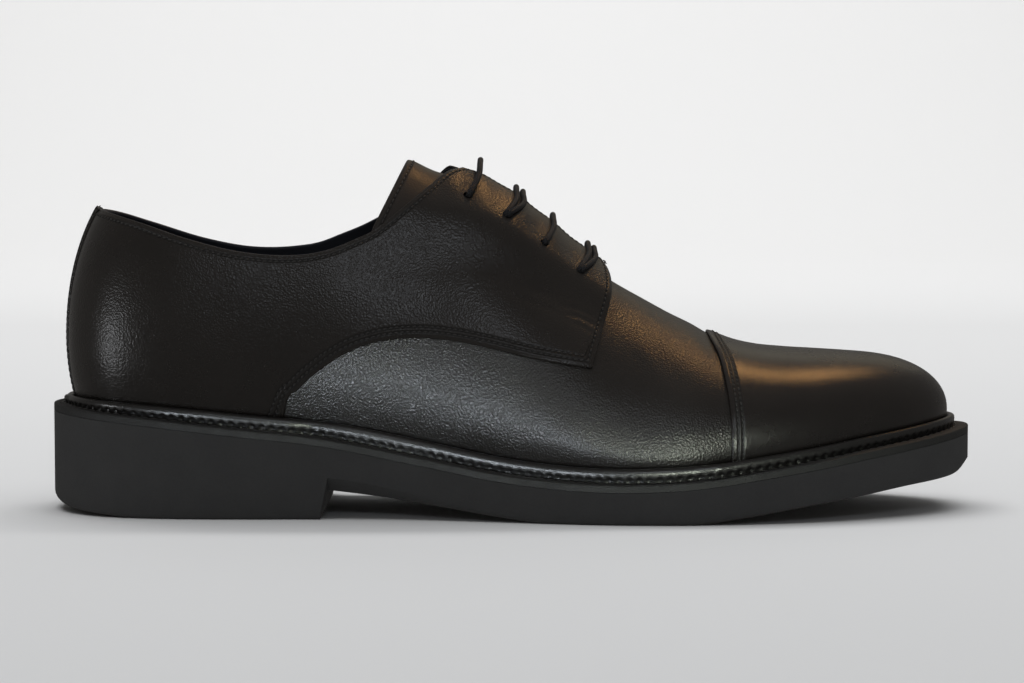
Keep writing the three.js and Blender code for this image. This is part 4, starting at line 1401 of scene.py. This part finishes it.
outsole_rows = ([outsole_row("side", share) for share in np.linspace(0, 1, 10)]
                + [outsole_row("edge", share) for share in np.linspace(0, 1, 6)[1:]])
outsole = closed_mesh("outsole_rubber", loft_across(outsole_s, outsole_rows, 14), rubber, 32, False)
print("outsole:", len(outsole.data.polygons), "faces")

# %% [markdown]
# ## The lace
# One waxed cord runs through the punched holes. Over the throat it makes four bars: the first and
# third are single, the second and fourth are two strands that meet at the outer hole. Its ends lie
# hidden under the facing, below the top hole. The route is a list of stops, and a smooth curve
# through them carries the tube, whose UV map runs round and along the cord.

# %% The lace's route
OVER = LIFT + FLAP - .1 + LACE / 2
UNDER = LIFT / 2
BAR_SPREAD = 1.05
PAIR_LEAN = 3.5
TOP_ARCH = 1.6          # the top bar is slack and stands a little, the others lie tight
BAR_ARCH = -.7
OUTER, INNER = 1, -1
TOP, SECOND, THIRD, LOWEST = 3, 2, 1, 0


def on_skin(u, t, height):
    u, t = np.array([float(u)]), np.array([float(t)])
    return skin(u, t, np.array([float(height)]))[0]


def through_hole(i, side, upwards, sideways=0.0):
    """Three stops along a hole's axis, from under the facing to over it or back."""
    u = hole_places[i] * side
    t = float(hole_turn(np.array([u]), i)[0])
    stops = [on_skin(u, t, height) for height in (UNDER + .2, (OVER + UNDER) / 2, OVER - .35)]
    stops = [stop + np.array([sideways, 0, 0]) for stop in stops]
    return stops if upwards else stops[::-1]


def bar(i, side_from, lean_from, lean_to):
    """Stops over the throat, from one facing to the other, moved towards the toe by the leans."""
    stops = []
    place = from_share(FIRST_HOLE) - i * HOLE_PITCH
    for share, lean in ((.18, mix(lean_from, lean_to, .12)), (.36, mix(lean_from, lean_to, .3)),
                        (.5, mix(lean_from, lean_to, .5)), (.64, mix(lean_from, lean_to, .7)),
                        (.82, mix(lean_from, lean_to, .88))):
        s = float(station(share_of(place + lean)))
        side = side_from if share <= .5 else -side_from
        across = HOLE_ASIDE * abs(1 - 2 * share)
        t = float(turn_beside(np.array([s * side]), across)[0])
        arch = (TOP_ARCH if i == TOP else BAR_ARCH) * math.sin(share * math.pi)
        stops.append(on_skin(s * side, t, OVER + arch))
    return stops


def under(i, j, side):
    """One stop halfway between two holes, below the facing."""
    u = (hole_places[i] + hole_places[j]) / 2 * side
    t = float(turn_beside(np.array([u]), HOLE_ASIDE + HOLE_SPREAD * 1.5)[0])
    return [on_skin(u, t, UNDER)]


def lying_end(i, side, aside, back):
    """A cord end under the facing."""
    s = float(station(share_of(from_share(FIRST_HOLE) - i * HOLE_PITCH - back)))
    t = float(turn_beside(np.array([s * side]), aside)[0])
    return [on_skin(s * side, t, UNDER)]


SLIP = .55              # two strands in one hole lie beside each other by this
route = (
    lying_end(TOP, OUTER, HOLE_ASIDE + 6, 2) + through_hole(TOP, OUTER, True, SLIP)
    + bar(TOP, OUTER, LACE_LEAN, LACE_LEAN)
    + through_hole(TOP, INNER, False) + under(TOP, SECOND, INNER)
    + through_hole(SECOND, INNER, True, SLIP)
    + bar(SECOND, INNER, PAIR_LEAN + BAR_SPREAD, PAIR_LEAN + BAR_SPREAD)
    + through_hole(SECOND, OUTER, False, SLIP) + under(SECOND, THIRD, OUTER)
    + through_hole(THIRD, OUTER, True)
    + bar(THIRD, OUTER, LACE_LEAN, LACE_LEAN)
    + through_hole(THIRD, INNER, False) + under(THIRD, LOWEST, INNER)
    + through_hole(LOWEST, INNER, True, SLIP)
    + bar(LOWEST, INNER, PAIR_LEAN + BAR_SPREAD, PAIR_LEAN + BAR_SPREAD)
    + through_hole(LOWEST, OUTER, False, SLIP)
    + lying_end(LOWEST, OUTER, HOLE_ASIDE + 4, 0)
    + through_hole(LOWEST, OUTER, True, -SLIP)
    + bar(LOWEST, OUTER, PAIR_LEAN - BAR_SPREAD, PAIR_LEAN - BAR_SPREAD)
    + through_hole(LOWEST, INNER, False, -SLIP)
    + lying_end(THIRD, INNER, HOLE_ASIDE + 5, -2)
    + through_hole(SECOND, INNER, True, -SLIP)
    + bar(SECOND, INNER, PAIR_LEAN - BAR_SPREAD, PAIR_LEAN - BAR_SPREAD)
    + through_hole(SECOND, OUTER, False, -SLIP)
    + lying_end(TOP, OUTER, HOLE_ASIDE + 7, -5)
)
print("stops on the lace's way:", len(route))


# %% The lace's tube
def smooth_path(stops, spacing):
    """Points at even spacing on a centripetal spline through the stops."""
    stops = np.array(stops)
    ends = [2 * stops[0] - stops[1], 2 * stops[-1] - stops[-2]]
    p = np.concatenate([[ends[0]], stops, [ends[1]]])
    points = []
    for i in range(1, len(p) - 2):
        gaps = [max(np.linalg.norm(p[i + k] - p[i + k - 1]) ** .5, 1e-3) for k in (0, 1, 2)]
        m1 = ((p[i] - p[i - 1]) / gaps[0] - (p[i + 1] - p[i - 1]) / (gaps[0] + gaps[1])
              + (p[i + 1] - p[i]) / gaps[1])
        m2 = ((p[i + 1] - p[i]) / gaps[1] - (p[i + 2] - p[i]) / (gaps[1] + gaps[2])
              + (p[i + 2] - p[i + 1]) / gaps[2])
        m1, m2 = m1 * gaps[1], m2 * gaps[1]
        for w in np.linspace(0, 1, 24, endpoint=False):
            points.append((2 * w ** 3 - 3 * w * w + 1) * p[i] + (w ** 3 - 2 * w * w + w) * m1
                          + (3 * w * w - 2 * w ** 3) * p[i + 1] + (w ** 3 - w * w) * m2)
    points.append(p[-2])
    points = np.array(points)
    run = np.concatenate([[0], np.cumsum(np.linalg.norm(np.diff(points, axis=0), axis=1))])
    even = np.linspace(0, run[-1], int(run[-1] / spacing) + 1)
    return np.stack([np.interp(even, run, points[:, k]) for k in range(3)], -1), run[-1]


def tube(name, path, radius, sides, material):
    """A closed tube along a path, with a UV map of turns round it and millimetres along it."""
    tangents = np.gradient(path, axis=0)
    tangents /= np.linalg.norm(tangents, axis=1, keepdims=True)
    side = np.cross(tangents[0], [0, 0, 1.0])
    rings = []
    for point, tangent in zip(path, tangents):
        side = side - tangent * (side @ tangent)
        side /= np.linalg.norm(side)
        lifted = np.cross(side, tangent)
        angles = np.arange(sides) / sides * 2 * np.pi
        rings.append(point + radius * (np.cos(angles)[:, None] * side + np.sin(angles)[:, None] * lifted))
    points = np.concatenate(rings + [path[:1], path[-1:]])
    count = len(path)
    faces = []
    uvs = []
    run = np.concatenate([[0], np.cumsum(np.linalg.norm(np.diff(path, axis=0), axis=1))])
    for i in range(count - 1):
        for k in range(sides):
            a, b = i * sides + k, i * sides + (k + 1) % sides
            faces.append([a, b, b + sides, a + sides])
            uvs += [(k / sides, run[i]), ((k + 1) / sides, run[i]),
                    ((k + 1) / sides, run[i + 1]), (k / sides, run[i + 1])]
    for centre, ring, flip in ((count * sides, 0, True), (count * sides + 1, count - 1, False)):
        for k in range(sides):
            a, b = ring * sides + k, ring * sides + (k + 1) % sides
            faces.append([centre, b, a] if flip else [centre, a, b])
            uvs += [(k / sides, run[ring])] * 3
    piece = finish_mesh(name, points, faces, material)
    layer = piece.data.uv_layers.new(name="UVMap")
    layer.data.foreach_set("uv", np.array(uvs, np.float32).ravel())
    work = bmesh.new()
    work.from_mesh(piece.data)
    if work.calc_volume(signed=True) < 0:
        bmesh.ops.reverse_faces(work, faces=work.faces)
    work.to_mesh(piece.data)
    work.free()
    return piece


lace_path, lace_length = smooth_path(route, .45)
lace = tube("lace_cord", lace_path, LACE / 2, 14, cord_material)
print("lace:", round(lace_length), "mm in the shoe,", len(lace.data.polygons), "faces")

# %% [markdown]
# ## Stitches
# A row of stitches repeats one small shape along a path, which is what Geometry Nodes are for. The
# tree below makes a curve of the path, sets points a pitch apart, and places a flat rounded grain of
# thread on each, lying along the path and upright on the leather. The leather's direction comes from
# an attribute called `outward` on the path's points. One tree serves every row; its inputs give the
# pitch, the size of a stitch and its slant.

# %% The stitch tree
stitch_tree = bpy.data.node_groups.new("stitch_row", "GeometryNodeTree")
stitch_tree.interface.new_socket(name="Geometry", in_out="INPUT", socket_type="NodeSocketGeometry")
STITCH_INPUTS = (("Pitch", .0022), ("Length", .0019), ("Width", .0006), ("Height", .0004), ("Slant", .1))
for label, value in STITCH_INPUTS:
    socket = stitch_tree.interface.new_socket(name=label, in_out="INPUT", socket_type="NodeSocketFloat")
    socket.default_value = value
socket = stitch_tree.interface.new_socket(name="Material", in_out="INPUT", socket_type="NodeSocketMaterial")
stitch_tree.interface.new_socket(name="Geometry", in_out="OUTPUT", socket_type="NodeSocketGeometry")


def add(kind, **settings):
    node = stitch_tree.nodes.new(kind)
    for key, value in settings.items():
        setattr(node, key, value)
    return node


def join(output, target):
    stitch_tree.links.new(output, target)


given = add("NodeGroupInput")
result = add("NodeGroupOutput")
to_curve = add("GeometryNodeMeshToCurve")
resample = add("GeometryNodeResampleCurve", mode="LENGTH")
grain = add("GeometryNodeMeshIcoSphere")
grain.inputs["Radius"].default_value = .5
grain.inputs["Subdivisions"].default_value = 2
size = add("ShaderNodeCombineXYZ")
shaped = add("GeometryNodeTransform")
tangent = add("GeometryNodeInputTangent")
outward = add("GeometryNodeInputNamedAttribute", data_type="FLOAT_VECTOR")
outward.inputs["Name"].default_value = "outward"
along = add("FunctionNodeAlignRotationToVector", axis="X")
upright = add("FunctionNodeAlignRotationToVector", axis="Z", pivot_axis="X")
slant = add("ShaderNodeCombineXYZ")
turned = add("FunctionNodeRotateRotation", rotation_space="LOCAL")
instances = add("GeometryNodeInstanceOnPoints")
real = add("GeometryNodeRealizeInstances")
paint = add("GeometryNodeSetMaterial")
soft = add("GeometryNodeSetShadeSmooth")
join(given.outputs["Geometry"], to_curve.inputs["Mesh"])
join(to_curve.outputs["Curve"], resample.inputs["Curve"])
join(given.outputs["Pitch"], resample.inputs["Length"])
join(given.outputs["Length"], size.inputs["X"])
join(given.outputs["Width"], size.inputs["Y"])
join(given.outputs["Height"], size.inputs["Z"])
join(grain.outputs["Mesh"], shaped.inputs["Geometry"])
join(size.outputs["Vector"], shaped.inputs["Scale"])
join(tangent.outputs["Tangent"], along.inputs["Vector"])
join(along.outputs["Rotation"], upright.inputs["Rotation"])
join(outward.outputs["Attribute"], upright.inputs["Vector"])
join(given.outputs["Slant"], slant.inputs["Z"])
join(upright.outputs["Rotation"], turned.inputs["Rotation"])
join(slant.outputs["Vector"], turned.inputs["Rotate By"])
join(resample.outputs["Curve"], instances.inputs["Points"])
join(shaped.outputs["Geometry"], instances.inputs["Instance"])
join(turned.outputs["Rotation"], instances.inputs["Rotation"])
join(instances.outputs["Instances"], real.inputs["Geometry"])
join(real.outputs["Geometry"], soft.inputs["Geometry"])
join(soft.outputs["Geometry"], paint.inputs["Geometry"])
join(given.outputs["Material"], paint.inputs["Material"])
join(paint.outputs["Geometry"], result.inputs["Geometry"])
print("stitch tree with", len(stitch_tree.nodes), "nodes")


# %% Rows of stitches
# Each: pitch, length, width and height of a stitch in millimetres, and its slant.
QUARTER_STITCH = (1.9, 1.25, .62, .45, .10)
CAP_STITCH = (1.9, 1.25, .6, .42, .10)
EDGE_STITCH = (2.15, 1.8, .55, .42, .10)
TOP_ROW = 1.8           # single rows, in millimetres from the edge
FACING_ROW = 1.7
STRIP_ROW = 1.5
TONGUE_ROW = 1.6


def stitch_rows(name, paths, pitch, length, width, height, slant_by, material):
    """One piece with a row of stitches along each path, given as (points, outward directions)."""
    points, edges, directions = [], [], []
    total = 0
    for path, outwards in paths:
        points.append(path)
        directions.append(outwards)
        edges += [(total + k, total + k + 1) for k in range(len(path) - 1)]
        total += len(path)
    mesh = bpy.data.meshes.new(name)
    mesh.from_pydata(placed(np.concatenate(points)), edges, [])
    layer = mesh.attributes.new("outward", "FLOAT_VECTOR", "POINT")
    layer.data.foreach_set("vector", np.concatenate(directions).astype(np.float32).ravel())
    piece = bpy.data.objects.new(name, mesh)
    bpy.context.scene.collection.objects.link(piece)
    modifier = piece.modifiers.new("stitches", "NODES")
    modifier.node_group = stitch_tree
    values = {"Pitch": pitch / 1000, "Length": length / 1000, "Width": width / 1000,
              "Height": height / 1000, "Slant": slant_by, "Material": material}
    for item in stitch_tree.interface.items_tree:
        if item.in_out == "INPUT" and item.name in values:
            modifier[item.identifier] = values[item.name]
    return evaluated(piece)


def row_beside(u, t, distance, wanted, thickness, rows=14):
    """The path on the leather where the distance from the edge is `wanted`, one point a column.
    The arrays run from the edge inwards along their second axis."""
    highest = distance[:, :rows].max(1)
    keep = (distance[:, 0] < wanted) & (highest > wanted) & (highest < 50)
    picked_u, picked_t = [], []
    for k in np.nonzero(keep)[0]:
        picked_u.append(np.interp(wanted, distance[k, :rows], u[k, :rows]))
        picked_t.append(np.interp(wanted, distance[k, :rows], t[k, :rows]))
    picked_u, picked_t = np.array(picked_u), np.array(picked_t)
    outwards = normal(picked_u, picked_t)
    return skin(picked_u, picked_t, thickness(picked_u, picked_t)), outwards


def on_quarter(u, t):
    point = skin(u, t, quarter_outer(u, t))
    return quarter_outer(u, t) + .02 + facing_wave(point) + creased(point, CREASES)


half = quarter_u.shape[0] // 2
seam_paths = []
for columns in (np.s_[half + 1:], np.s_[:half]):
    u, t = quarter_u[columns], quarter_t[columns]
    for wanted in SEAM_ROWS:
        away = np.where(to_front[columns][:, :22].min(1) < wanted, FAR_AWAY, 0)[:, None]
        seam_paths.append(row_beside(u, t, to_seam[columns] + away, wanted, on_quarter, 40))
flipped = np.s_[:, ::-1]
top_paths = [row_beside(quarter_u[flipped], quarter_t[flipped], to_top[flipped], TOP_ROW, on_quarter)]
front_paths = []
for columns, distance in ((np.s_[::-1], to_outer_front), (np.s_[:], to_inner_front)):
    u, t = quarter_u[columns].T[:, :26], quarter_t[columns].T[:, :26]
    away = distance[columns].T[:, :26]
    below_top = to_top[columns].T[:, :26].min(1) > TOP_ROW
    inside = (to_seam[columns].T[:, :26].min(1) > FACING_ROW) & below_top
    front_paths.append(row_beside(u[inside], t[inside], away[inside], FACING_ROW, on_quarter))
quarter_stitches = stitch_rows("quarter_stitches", seam_paths + top_paths + front_paths,
                               *QUARTER_STITCH, thread)
print("stitches on the quarters:", len(quarter_stitches.data.polygons) // 80)


def on_cap(u, t):
    return np.full_like(u, GAP + CAP + .02)


cap_paths = [row_beside(cap_u.T, cap_t.T, to_cap_edge.T, wanted, on_cap)
             for wanted in CAP_SEAM_ROWS]
cap_stitches = stitch_rows("cap_stitches", cap_paths, *CAP_STITCH, thread)


def on_strip(u, t):
    return np.full_like(u, strip_base + STRIP - thinned(STRIP_ROW) + .02)


def on_tongue(u, t):
    return np.full_like(u, .02)


strip_left = distance_to(rough_strip, rough_strip[0], np.s_[:, :]).T
strip_right = distance_to(rough_strip, rough_strip[-1], np.s_[:, :])[::-1].T
strip_paths = [row_beside(strip_u.T, strip_t.T, strip_left, STRIP_ROW, on_strip),
               row_beside(strip_u[::-1].T, strip_t[::-1].T, strip_right, STRIP_ROW, on_strip)]
strip_stitches = stitch_rows("strip_stitches", strip_paths, *EDGE_STITCH, thread)

tongue_end_path = row_beside(tongue_u.T, tongue_t.T, to_tongue_edge.T, TONGUE_ROW, on_tongue)
tongue_stitches = stitch_rows("tongue_stitches", [tongue_end_path], *EDGE_STITCH, thread)

welt_path = raised(welt_u, outside - .45, np.full_like(welt_u, LEDGE * .42))
welt_path = np.concatenate([welt_path, welt_path[:1]])
welt_up = np.tile([0.0, 0.0, 1.0], (len(welt_path), 1))
welt_stitches = stitch_rows("welt_stitches", [(welt_path, welt_up)], run[-1] / stitch_count,
                            2.6, .75, .45, .06, thread)
print("stitches on the welt:", len(welt_stitches.data.polygons) // 80)

# %% [markdown]
# ## Floor and light
# The floor is a pale sheet that curves up into a wall far behind, as in a photographer's studio. Its
# colour is painted lighter towards the back, a painted gradient of light. It is left out of the
# reflections, as if black card lay round the shoe, because polished leather would otherwise show
# the floor all along its side. A large soft light hangs over the shoe, and another one lights the wall.
#
# What gives black leather its form is reflections, so each of these comes from a light of its own. A
# small warm lamp and a long pale light behind the shoe draw the golden gleam on vamp and cap, and a
# small cool light in front draws the glints on the upper side. Narrow lights with a small spread lie
# low in front and draw the bright band along the vamp. Two of them light only what lies below the
# quarters' seam, as a card between the light and the shoe would do; more lights with cards of real
# geometry would do the same, but would be seen from other sides.

# %% Floor and backdrop
floor_material, tree, shader = plain_material("studio_paper", (.8, .8, .8), .95)
shader.inputs["Specular IOR Level"].default_value = 0
place = tree.nodes.new("ShaderNodeTexCoord").outputs["Object"]
split = tree.nodes.new("ShaderNodeSeparateXYZ")
tree.links.new(place, split.inputs["Vector"])
# Painted light: the paper's colour runs from darker near the shoe to lighter far behind and on the wall, a
# gradient of light painted into it.
nearness = math_node(tree, "DIVIDE", 1.0, math_node(tree, "ADD", split.outputs["Y"], 1.0))
tree.links.new(ranged(tree, nearness, .86, .68, .25, .50), shader.inputs["Base Color"])
HALF_FLOOR = 4.0
BACK = 3.2
CURVE = 1.2
profile = [(-.9, 0.0), (BACK - CURVE, 0.0)]
profile += [(BACK - CURVE + CURVE * math.sin(a), CURVE - CURVE * math.cos(a))
            for a in np.linspace(0, math.pi / 2, 16)[1:]]
profile.append((BACK, 4.0))
points = [(x, y, z) for x in (-HALF_FLOOR, HALF_FLOOR) for y, z in profile]
count = len(profile)
faces = [(k, k + count, k + 1 + count, k + 1) for k in range(count - 1)]
mesh = bpy.data.meshes.new("studio_floor")
mesh.from_pydata(points, [], faces)
mesh.materials.append(floor_material)
mesh.polygons.foreach_set("use_smooth", [True] * len(mesh.polygons))
floor = bpy.data.objects.new("studio_floor", mesh)
floor.visible_glossy = False
bpy.context.scene.collection.objects.link(floor)
print("floor made")

# %% Lights
world = bpy.data.worlds.new("studio")
bpy.context.scene.world = world
world.use_nodes = True
background = world.node_tree.nodes["Background"]
background.inputs["Color"].default_value = (1.0, .97, .93, 1)
background.inputs["Strength"].default_value = .14


def softbox(name, centre, target, width, height, power, colour, in_reflections=True):
    data = bpy.data.lights.new(name, "AREA")
    data.shape = "RECTANGLE"
    data.size = width
    data.size_y = height
    data.energy = power
    data.color = colour
    light = bpy.data.objects.new(name, data)
    light.location = centre
    direction = Vector(target) - Vector(centre)
    light.rotation_euler = direction.to_track_quat("-Z", "Y").to_euler()
    light.visible_glossy = in_reflections
    bpy.context.scene.collection.objects.link(light)
    return light


softbox("overhead", (0.0, 0.1, 1.7), (0, 0, 0), 2.2, 1.8, 23, (.965, .98, 1), False)
warm_lights = [
    softbox("lamp", (.42, .52, 1.06), (.08, 0, .05), .18, .18, 1.3, (1, .52, .18)),
    softbox("behind", (.35, 1.5, .9), (.05, 0, .05), 1.2, .35, .45, (1, .92, .66)),
]
softbox("front", (.02, -1.2, .60), (-.04, -.03, .08), .25, .16, .9, (.86, .92, 1))
softbox("backdrop", (0, 1.2, 2.6), (0, 2.6, 1.2), 3, 1, 62, (1, 1, 1), False)
low_glows = [
    softbox("glow", (-.25, -.60, -.055), (.02, -.04, .03), .20, .045, .105, (.84, .92, 1)),
    softbox("glow_left", (-.52, -.26, .035), (-.133, -.03, .05), .08, .04, .27, (.95, .97, 1)),
    softbox("glow_right", (.15, -.60, .0), (.05, -.04, .03), .20, .045, .115, (.92, 1, .84)),
]
low_glows[0].data.spread = math.radians(50)
low_glows[2].data.spread = math.radians(50)
shoe = bpy.data.collections.new("shoe")
bpy.context.scene.collection.children.link(shoe)
for piece in (quarters, vamp, lining, toe_cap, back_strip, tongue, welt, insole, outsole, lace,
              quarter_stitches, cap_stitches, strip_stitches, tongue_stitches, welt_stitches):
    shoe.objects.link(piece)
for light in warm_lights + low_glows:
    light.visible_diffuse = False
flagged = bpy.data.collections.new("below_the_seam")
bpy.context.scene.collection.children.link(flagged)
for piece in (vamp, toe_cap, welt, cap_stitches, welt_stitches):
    flagged.objects.link(piece)
for light, lit in zip(low_glows, (flagged, shoe, flagged)):
    light.light_linking.receiver_collection = lit
    light.light_linking.blocker_collection = shoe
bpy.context.scene.view_settings.view_transform = "Standard"
bpy.context.scene.view_settings.look = "None"

# %% [markdown]
# ## Place every piece
# Everything rides on the shoe's one body. Each piece names the solid that it stands for, and the
# name of a finish, which nothing here reads. The solids are hidden, and the number of triangles is
# printed.

# %% Bodies, solids and finishes
placing = [
    (quarters, ["upper"], "upper_leather"), (vamp, ["upper"], "upper_leather"),
    (lining, ["upper"], "lining_leather"), (quarter_stitches, ["upper"], "upper_leather"),
    (toe_cap, ["toe_cap"], "upper_leather"), (cap_stitches, ["toe_cap"], "upper_leather"),
    (back_strip, ["back_strip"], "upper_leather"), (strip_stitches, ["back_strip"], "upper_leather"),
    (tongue, ["tongue"], "tongue_leather"), (tongue_stitches, ["tongue"], "tongue_leather"),
    (welt, ["welt"], "welt_leather"), (welt_stitches, ["welt"], "welt_leather"),
    (insole, ["insole"], "lining_leather"), (outsole, ["outsole"], "sole_rubber"),
    (lace, ["lace"], "lace_cord"),
]
for piece, nodes, finish in placing:
    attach(piece, "root")
    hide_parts(*nodes)
total = sum(len(piece.data.loop_triangles) or len(piece.data.polygons) * 2 for piece, _, _ in placing)
print("pieces:", len(placing), "about", total, "triangles")
